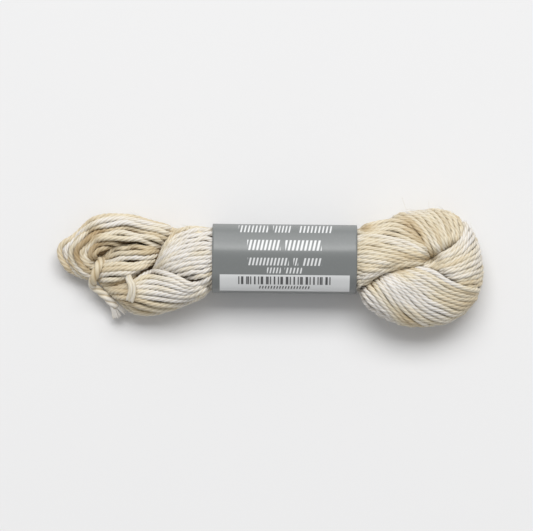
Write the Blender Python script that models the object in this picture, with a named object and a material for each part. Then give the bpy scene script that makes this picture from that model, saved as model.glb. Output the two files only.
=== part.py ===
"""Skein of embroidery floss: a twisted hank of silk thread in a paper band, with its tie.

Metres, +Z up.  The skein lies on Z = 0 with its length along X.  The twisted fold, or bight,
is its +X end, and the tied loops are its -X end.  The tables are in millimetres, with one row
for each section, fold or bend, and MM turns them into metres.
"""

import math

import bmesh
import bpy
import numpy as np

MM = 0.001

# Driving dimensions, in millimetres.
CLEARANCE = 0.3             # gap kept between pieces that touch
BAND_LENGTH = 47.9
BAND_MIDDLE = (4.65, 3.02)  # middle of the band in plan
BAND_HEIGHT = 10.5          # height of the band's middle above the surface
BAND_TURN = -0.56           # degrees the band is turned in plan
BAND_WALL = 0.6
TIE_DIAMETER = 2.4
END_DIAMETER = 2.2
LEFT_STATIONS = 52          # cross sections from the loops' end to the band
RIGHT_STATIONS = 46         # cross sections from the band to the bight's end
BAND_STATIONS = 6           # cross sections hidden in the band
OVER, UNDER = 32, 14        # steps over the top and under the bottom of each cross section
AROUND = OVER + UNDER

# The band's outer section about its middle: (y, z) at each soft crease.
BAND_CREASES = (
    (11.6, 0.6), (10.2, 6.6), (2.8, 10.1), (-5.6, 8.7), (-10.2, 5.2),
    (-11.6, -0.9), (-9.6, -6.9), (-3.2, -9.9), (4.2, -10.2), (9.6, -7.1),
)

# The hank's outline and heights, one row for each section:
# x, y of the upper edge, y of the lower edge, height of the edge, of the crest, of the underside.
# An underside below zero is cut flat where it meets the surface.
SECTIONS = (
    (-71.05, 5.7, 4.9, 3.6, 4.4, 2.8),
    (-70.17, 7.8, 3.0, 3.8, 6.2, 0.6),
    (-68.5, 9.3, 0.7, 4.2, 8.0, -0.7),
    (-66.8, 10.5, -1.2, 4.6, 9.2, -0.9),
    (-65.2, 12.0, -2.8, 5.0, 10.0, -0.9),
    (-63.5, 14.0, -3.7, 5.3, 10.8, -0.4),
    (-61.8, 15.4, -4.0, 5.6, 11.2, 1.2),
    (-60.2, 16.4, -3.6, 5.8, 11.4, 3.1),
    (-58.8, 17.0, -3.5, 6.0, 11.6, 3.3),
    (-57.6, 17.4, -4.4, 6.0, 11.8, 3.1),
    (-56.2, 17.6, -6.4, 6.2, 12.2, 1.4),
    (-54.5, 17.8, -7.9, 6.2, 12.6, 0.1),
    (-52.5, 17.9, -9.7, 6.3, 13.0, -0.7),
    (-50.5, 17.8, -11.7, 6.4, 13.3, -1.0),
    (-48.5, 17.7, -13.7, 6.5, 13.5, -1.1),
    (-46.8, 17.5, -15.0, 6.7, 13.6, -1.1),
    (-44.5, 17.1, -15.8, 6.9, 13.6, -1.1),
    (-40.2, 16.0, -16.0, 7.3, 13.6, -1.1),
    (-37.5, 15.2, -15.7, 7.7, 14.2, -1.0),
    (-35.2, 14.5, -15.0, 8.0, 16.0, -0.9),
    (-32.5, 13.4, -14.2, 8.5, 17.6, -0.5),
    (-28.5, 13.5, -12.6, 9.2, 18.6, -0.2),
    (-23.5, 13.8, -10.6, 10.0, 19.4, 0.5),
    (-20.4, 13.8, -8.8, 10.4, 19.8, 1.1),
    (29.6, 13.6, -9.2, 10.4, 19.8, 1.1),
    (31.2, 14.4, -11.9, 10.2, 20.0, 0.7),
    (33.2, 15.3, -14.2, 10.0, 20.2, 0.2),
    (36.5, 16.2, -16.3, 9.8, 20.4, -0.3),
    (39.8, 17.0, -18.0, 9.6, 20.6, -0.8),
    (43.2, 18.6, -19.2, 9.6, 20.7, -1.0),
    (46.5, 19.0, -19.8, 9.6, 20.8, -1.1),
    (49.8, 19.5, -19.9, 9.5, 20.8, -1.2),
    (54.2, 20.0, -19.4, 9.4, 20.6, -1.2),
    (58.2, 19.6, -18.8, 9.3, 20.2, -1.2),
    (61.5, 18.3, -17.6, 9.2, 19.5, -1.0),
    (64.8, 16.0, -15.6, 9.0, 18.2, -0.5),
    (67.2, 13.5, -13.2, 8.8, 16.4, 0.4),
    (69.2, 9.9, -10.2, 8.7, 14.2, 1.8),
    (70.5, 5.6, -6.9, 8.6, 11.8, 4.6),
    (71.15, 1.0, -3.0, 8.5, 9.6, 7.0),
)

# Folds of the top: creases sink it and swellings raise it.  x, y, lift, half width.
TOP_FOLDS = {
    "crease_under_the_near_rope": (
        (28.5, -6.7, -2.6, 1.8), (33.8, -3.7, -3.2, 1.9), (38.2, -1.0, -3.2, 1.9),
        (41.5, 0.0, -3.0, 1.8), (49.8, 1.0, -2.4, 1.6), (53.5, 3.0, -2.0, 1.6)),
    "first_ply_crease": (
        (40.8, 17.7, -1.2, 1.6), (46.5, 15.7, -1.8, 1.6), (49.8, 12.0, -2.2, 1.6),
        (52.2, 7.7, -2.2, 1.6), (53.5, 3.3, -2.0, 1.6)),
    "second_ply_crease": (
        (53.5, 3.3, -1.8, 1.6), (55.5, 4.3, -1.8, 1.6), (59.8, 7.0, -1.8, 1.6),
        (62.5, 9.3, -1.6, 1.6), (64.8, 12.0, -1.2, 1.6), (66.5, 14.3, -0.6, 1.6)),
    "fan_crease": (
        (51.5, 0.0, -1.0, 1.5), (56.5, -2.7, -0.9, 1.5), (59.8, -4.3, -0.8, 1.5),
        (66.5, -6.3, -0.5, 1.5)),
    "pinch": ((53.2, 2.2, -3.2, 2.6), (54.0, 2.4, -3.2, 2.6)),
    "near_rope": (
        (33.2, 6.0, 0.4, 6.0), (41.5, 8.3, 0.6, 6.0), (48.2, 7.3, 0.3, 5.0)),
    "lobe_crease": (
        (-40.2, -1.0, -2.4, 1.6), (-35.2, -1.3, -2.4, 1.6), (-30.2, -2.7, -2.0, 1.6),
        (-23.5, -5.0, -1.6, 1.5), (-19.8, -6.3, -1.0, 1.4)),
    "upper_ply_end": (
        (-32.5, 12.3, -2.4, 1.7), (-35.2, 8.3, -3.0, 1.7), (-36.8, 6.0, -3.0, 1.7),
        (-37.8, 2.0, -3.0, 1.7), (-39.5, -0.3, -2.6, 1.7)),
    "loop_opening": (
        (-58.5, 2.2, -4.6, 1.5), (-55.2, 3.7, -4.6, 1.6), (-51.8, 6.3, -4.2, 1.6),
        (-48.5, 7.3, -3.2, 1.5), (-41.8, 7.7, -2.8, 1.5), (-36.8, 7.0, -2.6, 1.5)),
    "loop_strands": (
        (-60.2, 11.7, -1.0, 1.4), (-55.2, 13.3, -1.2, 1.4), (-50.2, 13.7, -1.2, 1.4),
        (-43.5, 12.7, -1.0, 1.4), (-36.8, 10.7, -0.8, 1.4)),
    "return_strands": (
        (-55.2, 2.0, -1.2, 1.3), (-48.5, 2.0, -1.3, 1.3), (-40.2, 2.3, -1.2, 1.3)),
    "under_return": (
        (-56.2, -6.3, -3.0, 1.5), (-52.8, -5.7, -3.2, 1.6), (-48.5, -4.3, -3.0, 1.6),
        (-44.2, -2.3, -2.6, 1.6), (-40.2, -1.0, -2.2, 1.6)),
    "turn_inside": (
        (-58.5, 9.3, -1.2, 1.3), (-61.8, 7.0, -1.4, 1.3), (-62.2, 4.3, -1.4, 1.3),
        (-60.2, 0.7, -1.2, 1.3)),
    "turn_outside": (
        (-65.2, 10.7, -0.9, 1.2), (-67.5, 7.7, -1.0, 1.2), (-68.2, 5.0, -1.0, 1.2),
        (-66.8, 1.3, -1.0, 1.2), (-64.2, -2.3, -0.8, 1.2)),
    "neck": ((-60.0, -2.4, -1.5, 2.2), (-57.4, 0.6, -1.5, 2.2)),
    "lower_lobe": (
        (-51.8, -8.0, 0.6, 4.0), (-46.8, -8.8, 1.8, 4.4), (-38.5, -8.8, 2.4, 4.6),
        (-30.2, -7.7, 0.9, 4.6), (-23.5, -7.3, 0.2, 4.6)),
    "upper_ply": ((-33.5, 4.0, 0.6, 5.0), (-26.8, 4.7, 0.5, 6.0)),
}

# Folds of the underside, with the lift measured downwards.
UNDER_FOLDS = {
    "rope_crease": (
        (29.0, 8.0, -1.2, 1.8), (36.0, 4.5, -1.8, 1.8), (44.0, 2.0, -1.6, 1.8), (53.0, 1.0, -1.2, 1.5)),
    "first_ply_crease": ((53.0, 1.0, -1.2, 1.5), (51.0, 8.0, -1.4, 1.6), (45.0, 16.0, -1.2, 1.6)),
    "second_ply_crease": ((53.0, 1.0, -1.2, 1.5), (60.0, 6.0, -1.4, 1.6), (65.5, 13.0, -1.2, 1.6)),
    "loop_crease": (
        (-56.0, 3.5, -2.2, 1.6), (-47.0, 4.5, -1.8, 1.6), (-36.0, 2.5, -1.8, 1.6), (-24.0, -1.5, -1.2, 1.6)),
}

# The tie's turn round the neck of the loops: an upright oval seen nearly edge on in plan.
TIE_MIDDLE = (-58.0, -1.2, 6.5)
TIE_REACH = (4.1, 4.9)          # half lengths of the oval, across the neck and upright
TIE_TURN = 249.4                # degrees from +X to the oval's level half length
TIE_FROM, TIE_TO = -48.0, -338.0    # degrees round the oval
TIE_TAIL = (                    # x, y, z of the tail that lies along the lower lobe
    (-59.4, -6.1, 4.4), (-57.9, -7.8, 3.5), (-55.9, -9.5, 2.6), (-53.9, -11.3, 2.0),
    (-52.0, -13.2, 1.7), (-50.4, -15.3, 1.6),
)
TIE_STEP = 1.1

# The short loose end that lies over the lower lobe: x, y.
LOOSE_END = ((-47.6, -4.2), (-46.2, -6.2), (-45.9, -8.6), (-46.9, -11.0))
END_STEP = 0.9


def clear_scene():
    """Remove whatever the scene holds."""
    for existing in list(bpy.data.objects):
        bpy.data.objects.remove(existing, do_unlink=True)


def finish(name, colour, roughness):
    """Return a Principled material for one kind of stuff."""
    material = bpy.data.materials.new(name)
    material.use_nodes = True
    shader = material.node_tree.nodes["Principled BSDF"]
    shader.inputs["Base Color"].default_value = (*colour, 1.0)
    shader.inputs["Roughness"].default_value = roughness
    shader.inputs["Metallic"].default_value = 0.0
    return material


def place(name, data, material):
    """Put mesh or curve data into the scene as one named sub-part."""
    data.materials.append(material)
    part = bpy.data.objects.new(name, data)
    bpy.context.collection.objects.link(part)
    return part


def smooth_rows(rows, at):
    """Read a table's columns at new values of its first column, with a monotone cubic."""
    rows = np.asarray(rows, float)
    x = rows[:, 0]
    values = rows[:, 1:]
    step = np.diff(x)[:, None]
    rise = np.diff(values, axis=0) / step
    slope = np.zeros_like(values)
    same_way = rise[:-1] * rise[1:] > 0
    weight_before = 2 * step[1:] + step[:-1]
    weight_after = step[1:] + 2 * step[:-1]
    with np.errstate(divide="ignore", invalid="ignore"):
        mean = (weight_before + weight_after) / (weight_before / rise[:-1] + weight_after / rise[1:])
    slope[1:-1] = np.where(same_way, mean, 0.0)
    slope[0], slope[-1] = rise[0], rise[-1]
    cell = np.clip(np.searchsorted(x, at) - 1, 0, len(x) - 2)
    t = ((at - x[cell]) / np.diff(x)[cell])[:, None]
    width = step[cell]
    return (values[cell] * (2 * t**3 - 3 * t**2 + 1) + slope[cell] * width * (t**3 - 2 * t**2 + t)
            + values[cell + 1] * (3 * t**2 - 2 * t**3) + slope[cell + 1] * width * (t**3 - t**2))


def smooth_path(points, step):
    """Return points at an even step along a Catmull-Rom curve through the given ones."""
    points = np.asarray(points, float)
    ends = np.vstack([2 * points[0] - points[1], points, 2 * points[-1] - points[-2]])
    pieces = []
    for before, start, stop, after in zip(ends[:-3], ends[1:-2], ends[2:-1], ends[3:]):
        t = np.linspace(0, 1, 12, endpoint=False)[:, None]
        pieces.append(0.5 * (2 * start + (stop - before) * t
                             + (2 * before - 5 * start + 4 * stop - after) * t**2
                             + (3 * start - before - 3 * stop + after) * t**3))
    curve = np.vstack(pieces + [points[-1:]])
    along = np.concatenate([[0], np.cumsum(np.linalg.norm(np.diff(curve, axis=0), axis=1))])
    count = max(4, int(round(along[-1] / step)) + 1)
    at = np.linspace(0, along[-1], count)
    return np.stack([np.interp(at, along, curve[:, axis]) for axis in range(curve.shape[1])], axis=1)


def smoothstep(low, high, value):
    """Rise from 0 at low to 1 at high without a corner."""
    t = np.clip((value - low) / (high - low), 0, 1)
    return t * t * (3 - 2 * t)


def fold_lift(folds, x, y):
    """Return how far the folds raise the surface at x, y: a soft bell across each fold's line."""
    total = np.zeros_like(x)
    for rows in folds.values():
        rows = np.asarray(rows, float)
        nearest = np.full(x.shape, 1e9)
        lift = np.zeros_like(x)
        for start, stop in zip(rows[:-1], rows[1:]):
            run = stop[:2] - start[:2]
            t = np.clip(((x - start[0]) * run[0] + (y - start[1]) * run[1]) / (run @ run), 0, 1)
            away = np.hypot(x - start[0] - t * run[0], y - start[1] - t * run[1])
            height = start[2] + t * (stop[2] - start[2])
            half_width = start[3] + t * (stop[3] - start[3])
            closer = away < nearest
            nearest = np.where(closer, away, nearest)
            lift = np.where(closer, height * np.exp(-(away / half_width) ** 2), lift)
        total += lift
    return total


def rounded_section(inset):
    """Return the band's section, its corners cut twice to make soft creases, moved in by inset."""
    corners = np.asarray(BAND_CREASES, float)
    for share in (0.28, 0.25):
        following = np.roll(corners, -1, axis=0)
        first = corners + share * (following - corners)
        second = following + share * (corners - following)
        corners = np.stack([first, second], axis=1).reshape(-1, 2)
    along = np.roll(corners, -1, axis=0) - np.roll(corners, 1, axis=0)
    inward = np.stack([-along[:, 1], along[:, 0]], axis=1) / np.linalg.norm(along, axis=1)[:, None]
    return corners + inset * inward


def band_reach(inset, angle):
    """Return the distance from the band's middle to its inset section at each angle."""
    section = rounded_section(inset)
    turn = np.arctan2(section[:, 1], section[:, 0])
    order = np.argsort(turn)
    return np.interp(angle, turn[order], np.hypot(*section[order].T), period=2 * math.pi)


def band_axis(x):
    """Return y of the band's middle line at x."""
    return BAND_MIDDLE[1] + (x - BAND_MIDDLE[0]) * math.tan(math.radians(BAND_TURN))


def inside_band(x):
    """Return 1 within the band and 0 well outside it, with a short rise at each end."""
    away = np.abs(x - BAND_MIDDLE[0]) - BAND_LENGTH / 2
    return 1 - smoothstep(0.5, 3.5, away)


def hank_points(x, angle):
    """Return y and z of the hank's surface at each x and angle round its section.

    Outside the band the section is an oval whose upper and lower halves have their own heights,
    raised and sunk by the folds.  Inside, it is the band's own section, moved in by its wall.
    """
    upper, lower, edge, crest, under = smooth_rows(SECTIONS, x).T
    round_y, round_z = np.cos(angle), np.sin(angle)
    y = (upper + lower) / 2 + (upper - lower) / 2 * round_y
    top = edge + (crest - edge) * np.abs(round_z) ** 0.86
    bottom = edge - (edge - under) * np.abs(round_z) ** 0.8
    away_from_edge = smoothstep(0.05, 0.55, np.abs(round_z))
    top = np.maximum(top + away_from_edge * fold_lift(TOP_FOLDS, x, y), edge + 0.4 * np.abs(round_z))
    bottom = bottom - away_from_edge * fold_lift(UNDER_FOLDS, x, y)
    z = np.maximum(np.where(round_z >= 0, top, bottom), 0.0)
    held = inside_band(x)
    reach = band_reach(BAND_WALL + CLEARANCE, angle)
    return (y + held * (band_axis(x) + reach * round_y - y),
            z + held * (BAND_HEIGHT + reach * round_z - z))


def stations():
    """Return x of each cross section, closer together towards the two ends and few in the band."""
    left, right = SECTIONS[0][0], SECTIONS[-1][0]
    start, stop = (BAND_MIDDLE[0] + side * (BAND_LENGTH / 2 - 1.0) for side in (-1, 1))
    from_tip = np.linspace(0, 1, LEFT_STATIONS, endpoint=False)
    loops = left + (start - left) * (0.7 * from_tip + 0.3 * from_tip**2)
    from_tip = np.linspace(0, 1, RIGHT_STATIONS, endpoint=False)[::-1]
    bight = right - (right - stop) * (0.7 * from_tip + 0.3 * from_tip**2)
    return np.concatenate([loops, np.linspace(start, stop, BAND_STATIONS), bight])


def section_angles():
    """Return the angle of each point round a section, nearly even across its top and its bottom."""
    angles = []
    for steps, side in ((OVER, 1), (UNDER, -1)):
        u = np.linspace(0, 1, steps, endpoint=False)
        across = 0.45 * np.cos(math.pi * u) + 0.55 * (1 - 2 * u)
        angles.append(np.arccos(across) if side > 0 else math.pi + np.arccos(across))
    return np.concatenate(angles)


def hank_mesh():
    """Loft the hank through its cross sections and close its two ends."""
    x, angle = np.meshgrid(stations(), section_angles(), indexing="ij")
    y, z = hank_points(x.ravel(), angle.ravel())
    shape = bmesh.new()
    points = np.stack([x.ravel(), y, z], axis=1) * MM
    verts = [shape.verts.new(point) for point in points]
    rings = [verts[start:start + AROUND] for start in range(0, len(verts), AROUND)]
    join_rings(shape, rings, looped=False)
    shape.faces.new(rings[0][::-1])
    shape.faces.new(rings[-1])
    return closed_mesh("hank", shape)


def closed_mesh(name, shape):
    """Turn a closed bmesh into a smooth mesh with its faces pointing out."""
    bmesh.ops.recalc_face_normals(shape, faces=shape.faces)
    bmesh.ops.triangulate(shape, faces=shape.faces)
    mesh = bpy.data.meshes.new(name)
    shape.to_mesh(mesh)
    shape.free()
    mesh.shade_smooth()
    return mesh


def join_rings(shape, rings, looped):
    """Skin each ring of points to the next, and the last to the first where the skin is looped."""
    pairs = list(zip(rings, rings[1:] + rings[:1]))
    for ring, following in pairs if looped else pairs[:-1]:
        for here in range(len(ring)):
            beside = (here + 1) % len(ring)
            shape.faces.new((ring[here], ring[beside], following[beside], following[here]))


def band_mesh():
    """Build the band: a thin sleeve between its outer and inner sections."""
    start, stop = (BAND_MIDDLE[0] + side * BAND_LENGTH / 2 for side in (-1, 1))
    shape = bmesh.new()
    rings = []
    for inset, places in ((0.0, (start, stop)), (BAND_WALL, (stop, start))):
        section = rounded_section(inset)
        for x in places:
            points = [(x * MM, (y + band_axis(x)) * MM, (z + BAND_HEIGHT) * MM) for y, z in section]
            rings.append([shape.verts.new(point) for point in points])
    join_rings(shape, rings, looped=True)
    return closed_mesh("band", shape)


def oval_point(degrees, outwards=0.0, aside=0.0):
    """Return a point of the tie's oval, moved outwards in its plane and aside along its axis."""
    turn = math.radians(TIE_TURN)
    level = np.array([math.cos(turn), math.sin(turn), 0.0])
    upright = np.array([0.0, 0.0, 1.0])
    across = np.cross(level, upright)
    angle = math.radians(degrees)
    normal = np.array([math.cos(angle) / TIE_REACH[0], math.sin(angle) / TIE_REACH[1]])
    normal /= np.linalg.norm(normal)
    flat = np.array([TIE_REACH[0] * math.cos(angle), TIE_REACH[1] * math.sin(angle)]) + outwards * normal
    return np.array(TIE_MIDDLE) + flat[0] * level + flat[1] * upright + aside * across


def tie_path():
    """Return the tie's middle line: up between the loops, over the neck, down and out as the tail."""
    turns = [oval_point(degrees) for degrees in np.linspace(TIE_FROM, TIE_TO, 15)]
    return smooth_path(np.vstack([turns, TIE_TAIL]), TIE_STEP)


def tie_cutter():
    """Build the closed tube that clears the tie's way round the neck."""
    radius = TIE_DIAMETER / 2 + CLEARANCE
    around, sides = 40, 14
    shape = bmesh.new()
    rings = []
    for degrees in np.linspace(0, 360, around, endpoint=False):
        rings.append([shape.verts.new(oval_point(degrees, radius * math.cos(a), radius * math.sin(a)) * MM)
                      for a in np.linspace(0, 2 * math.pi, sides, endpoint=False)])
    join_rings(shape, rings, looped=True)
    return closed_mesh("tie_way", shape)


def resting_height(x, y, radius):
    """Return the height at which a round thread of this radius rests on the hank's top at x, y."""
    grid = np.linspace(-radius, radius, 9)
    over_x, over_y = (axis.ravel() for axis in np.meshgrid(x + grid, y + grid))
    away = np.hypot(over_x - x, over_y - y)
    under = away < radius
    over_x, over_y, away = over_x[under], over_y[under], away[under]
    upper, lower = smooth_rows(SECTIONS, over_x).T[:2]
    across = np.clip((2 * over_y - upper - lower) / (upper - lower), -1, 1)
    _, z = hank_points(over_x, np.arccos(across))
    return float(np.max(z + np.sqrt(radius**2 - away**2)))


def end_path():
    """Return the middle line of the loose end, resting all along on the lower lobe."""
    plan = smooth_path(LOOSE_END, END_STEP)
    radius = END_DIAMETER / 2
    heights = np.array([resting_height(x, y, radius + CLEARANCE) for x, y in plan])
    return np.column_stack([plan, heights])


def thread_curve(name, points, diameter):
    """Return a round thread through points, with closed ends."""
    curve = bpy.data.curves.new(name, "CURVE")
    curve.dimensions = "3D"
    curve.bevel_depth = diameter / 2 * MM
    curve.bevel_resolution = 2
    curve.use_fill_caps = True
    spline = curve.splines.new("POLY")
    spline.points.add(len(points) - 1)
    for knot, point in zip(spline.points, points * MM):
        knot.co = (*point, 1.0)
    return curve


def build():
    """Make every sub-part."""
    clear_scene()
    silk = finish("silk_thread", (0.66, 0.59, 0.47), 0.55)
    pale_silk = finish("pale_silk_thread", (0.74, 0.70, 0.62), 0.55)
    paper = finish("grey_paper", (0.24, 0.25, 0.25), 0.7)

    hank = place("hank", hank_mesh(), silk)
    cutter = place("tie_way", tie_cutter(), silk)
    cutter.hide_render = True
    cutter.display_type = "WIRE"
    cut = hank.modifiers.new("tie_way", "BOOLEAN")
    cut.object = cutter
    cut.operation = "DIFFERENCE"
    cut.solver = "EXACT"

    place("band", band_mesh(), paper)
    place("tie", thread_curve("tie", tie_path(), TIE_DIAMETER), pale_silk)
    place("loose_end", thread_curve("loose_end", end_path(), END_DIAMETER), pale_silk)


build()
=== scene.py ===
"""Looks of a skein of hand-dyed silk floss with a paper band.

Paths and sizes are worked out in millimetres, in the solids' own frame, and become metres when a
mesh is made.  The threads lie on the wound form that the solids have: each is a line in plan that
is settled onto that form's top or underside, and is then swept with a plied thread's section.
"""

from __future__ import annotations

import logging
import math
from dataclasses import dataclass
from enum import Enum
from typing import Any, Sequence

import bpy
import numpy as np
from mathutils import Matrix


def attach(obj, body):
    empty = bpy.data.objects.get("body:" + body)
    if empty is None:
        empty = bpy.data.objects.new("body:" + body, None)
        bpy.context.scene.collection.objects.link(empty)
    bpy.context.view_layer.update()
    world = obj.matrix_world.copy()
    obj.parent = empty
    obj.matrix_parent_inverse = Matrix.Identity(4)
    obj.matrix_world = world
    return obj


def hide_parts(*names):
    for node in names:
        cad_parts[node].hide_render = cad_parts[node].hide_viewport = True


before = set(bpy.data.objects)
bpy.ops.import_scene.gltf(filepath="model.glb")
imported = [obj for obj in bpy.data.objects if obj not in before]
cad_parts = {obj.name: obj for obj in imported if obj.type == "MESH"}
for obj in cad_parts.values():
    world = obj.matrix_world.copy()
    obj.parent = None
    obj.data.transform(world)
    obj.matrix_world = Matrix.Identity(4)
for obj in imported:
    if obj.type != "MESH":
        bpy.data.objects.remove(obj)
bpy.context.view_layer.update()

LOG = logging.getLogger("skein")
MM = 0.001
BODY = "root"
SEED = 7
FULL_TURN = 2 * math.pi
TINY = 1e-9
Array = np.ndarray
Colour = tuple[float, float, float]

# The wound form: x, y of the upper edge, y of the lower edge, then the height of the edge, the
# crest and the underside.
SECTIONS = (
    (-71.05, 5.7, 4.9, 3.6, 4.4, 2.8),
    (-70.17, 7.8, 3.0, 3.8, 6.2, 0.6),
    (-68.5, 9.3, 0.7, 4.2, 8.0, -0.7),
    (-66.8, 10.5, -1.2, 4.6, 9.2, -0.9),
    (-65.2, 12.0, -2.8, 5.0, 10.0, -0.9),
    (-63.5, 14.0, -3.7, 5.3, 10.8, -0.4),
    (-61.8, 15.4, -4.0, 5.6, 11.2, 1.2),
    (-60.2, 16.4, -3.6, 5.8, 11.4, 3.1),
    (-58.8, 17.0, -3.5, 6.0, 11.6, 3.3),
    (-57.6, 17.4, -4.4, 6.0, 11.8, 3.1),
    (-56.2, 17.6, -6.4, 6.2, 12.2, 1.4),
    (-54.5, 17.8, -7.9, 6.2, 12.6, 0.1),
    (-52.5, 17.9, -9.7, 6.3, 13.0, -0.7),
    (-50.5, 17.8, -11.7, 6.4, 13.3, -1.0),
    (-48.5, 17.7, -13.7, 6.5, 13.5, -1.1),
    (-46.8, 17.5, -15.0, 6.7, 13.6, -1.1),
    (-44.5, 17.1, -15.8, 6.9, 13.6, -1.1),
    (-40.2, 16.0, -16.0, 7.3, 13.6, -1.1),
    (-37.5, 15.2, -15.7, 7.7, 14.2, -1.0),
    (-35.2, 14.5, -15.0, 8.0, 16.0, -0.9),
    (-32.5, 13.4, -14.2, 8.5, 17.6, -0.5),
    (-28.5, 13.5, -12.6, 9.2, 18.6, -0.2),
    (-23.5, 13.8, -10.6, 10.0, 19.4, 0.5),
    (-20.4, 13.8, -8.8, 10.4, 19.8, 1.1),
    (29.6, 13.6, -9.2, 10.4, 19.8, 1.1),
    (31.2, 14.4, -11.9, 10.2, 20.0, 0.7),
    (33.2, 15.3, -14.2, 10.0, 20.2, 0.2),
    (36.5, 16.2, -16.3, 9.8, 20.4, -0.3),
    (39.8, 17.0, -18.0, 9.6, 20.6, -0.8),
    (43.2, 18.6, -19.2, 9.6, 20.7, -1.0),
    (46.5, 19.0, -19.8, 9.6, 20.8, -1.1),
    (49.8, 19.5, -19.9, 9.5, 20.8, -1.2),
    (54.2, 20.0, -19.4, 9.4, 20.6, -1.2),
    (58.2, 19.6, -18.8, 9.3, 20.2, -1.2),
    (61.5, 18.3, -17.6, 9.2, 19.5, -1.0),
    (64.8, 16.0, -15.6, 9.0, 18.2, -0.5),
    (67.2, 13.5, -13.2, 8.8, 16.4, 0.4),
    (69.2, 9.9, -10.2, 8.7, 14.2, 1.8),
    (70.5, 5.6, -6.9, 8.6, 11.8, 4.6),
    (71.15, 1.0, -3.0, 8.5, 9.6, 7.0),
)

# Folds of the top: x, y, lift and half width, a row for each bend of the fold's line.
TOP_FOLDS = {
    "crease_under_the_near_rope": (
        (28.5, -6.7, -2.6, 1.8), (33.8, -3.7, -3.2, 1.9), (38.2, -1.0, -3.2, 1.9),
        (41.5, 0.0, -3.0, 1.8), (49.8, 1.0, -2.4, 1.6), (53.5, 3.0, -2.0, 1.6)),
    "first_ply_crease": (
        (40.8, 17.7, -1.2, 1.6), (46.5, 15.7, -1.8, 1.6), (49.8, 12.0, -2.2, 1.6),
        (52.2, 7.7, -2.2, 1.6), (53.5, 3.3, -2.0, 1.6)),
    "second_ply_crease": (
        (53.5, 3.3, -1.8, 1.6), (55.5, 4.3, -1.8, 1.6), (59.8, 7.0, -1.8, 1.6),
        (62.5, 9.3, -1.6, 1.6), (64.8, 12.0, -1.2, 1.6), (66.5, 14.3, -0.6, 1.6)),
    "fan_crease": (
        (51.5, 0.0, -1.0, 1.5), (56.5, -2.7, -0.9, 1.5), (59.8, -4.3, -0.8, 1.5),
        (66.5, -6.3, -0.5, 1.5)),
    "pinch": ((53.2, 2.2, -3.2, 2.6), (54.0, 2.4, -3.2, 2.6)),
    "near_rope": (
        (33.2, 6.0, 0.4, 6.0), (41.5, 8.3, 0.6, 6.0), (48.2, 7.3, 0.3, 5.0)),
    "lobe_crease": (
        (-40.2, -1.0, -2.4, 1.6), (-35.2, -1.3, -2.4, 1.6), (-30.2, -2.7, -2.0, 1.6),
        (-23.5, -5.0, -1.6, 1.5), (-19.8, -6.3, -1.0, 1.4)),
    "upper_ply_end": (
        (-32.5, 12.3, -2.4, 1.7), (-35.2, 8.3, -3.0, 1.7), (-36.8, 6.0, -3.0, 1.7),
        (-37.8, 2.0, -3.0, 1.7), (-39.5, -0.3, -2.6, 1.7)),
    "loop_opening": (
        (-58.5, 2.2, -4.6, 1.5), (-55.2, 3.7, -4.6, 1.6), (-51.8, 6.3, -4.2, 1.6),
        (-48.5, 7.3, -3.2, 1.5), (-41.8, 7.7, -2.8, 1.5), (-36.8, 7.0, -2.6, 1.5)),
    "loop_strands": (
        (-60.2, 11.7, -1.0, 1.4), (-55.2, 13.3, -1.2, 1.4), (-50.2, 13.7, -1.2, 1.4),
        (-43.5, 12.7, -1.0, 1.4), (-36.8, 10.7, -0.8, 1.4)),
    "return_strands": (
        (-55.2, 2.0, -1.2, 1.3), (-48.5, 2.0, -1.3, 1.3), (-40.2, 2.3, -1.2, 1.3)),
    "under_return": (
        (-56.2, -6.3, -3.0, 1.5), (-52.8, -5.7, -3.2, 1.6), (-48.5, -4.3, -3.0, 1.6),
        (-44.2, -2.3, -2.6, 1.6), (-40.2, -1.0, -2.2, 1.6)),
    "turn_inside": (
        (-58.5, 9.3, -1.2, 1.3), (-61.8, 7.0, -1.4, 1.3), (-62.2, 4.3, -1.4, 1.3),
        (-60.2, 0.7, -1.2, 1.3)),
    "turn_outside": (
        (-65.2, 10.7, -0.9, 1.2), (-67.5, 7.7, -1.0, 1.2), (-68.2, 5.0, -1.0, 1.2),
        (-66.8, 1.3, -1.0, 1.2), (-64.2, -2.3, -0.8, 1.2)),
    "neck": ((-60.0, -2.4, -1.5, 2.2), (-57.4, 0.6, -1.5, 2.2)),
    "lower_lobe": (
        (-51.8, -8.0, 0.6, 4.0), (-46.8, -8.8, 1.8, 4.4), (-38.5, -8.8, 2.4, 4.6),
        (-30.2, -7.7, 0.9, 4.6), (-23.5, -7.3, 0.2, 4.6)),
    "upper_ply": ((-33.5, 4.0, 0.6, 5.0), (-26.8, 4.7, 0.5, 6.0)),
}

# The band's section about its middle: (y, z) at each soft crease.
BAND_CREASES = (
    (11.6, 0.6), (10.2, 6.6), (2.8, 10.1), (-5.6, 8.7), (-10.2, 5.2),
    (-11.6, -0.9), (-9.6, -6.9), (-3.2, -9.9), (4.2, -10.2), (9.6, -7.1),
)

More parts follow.
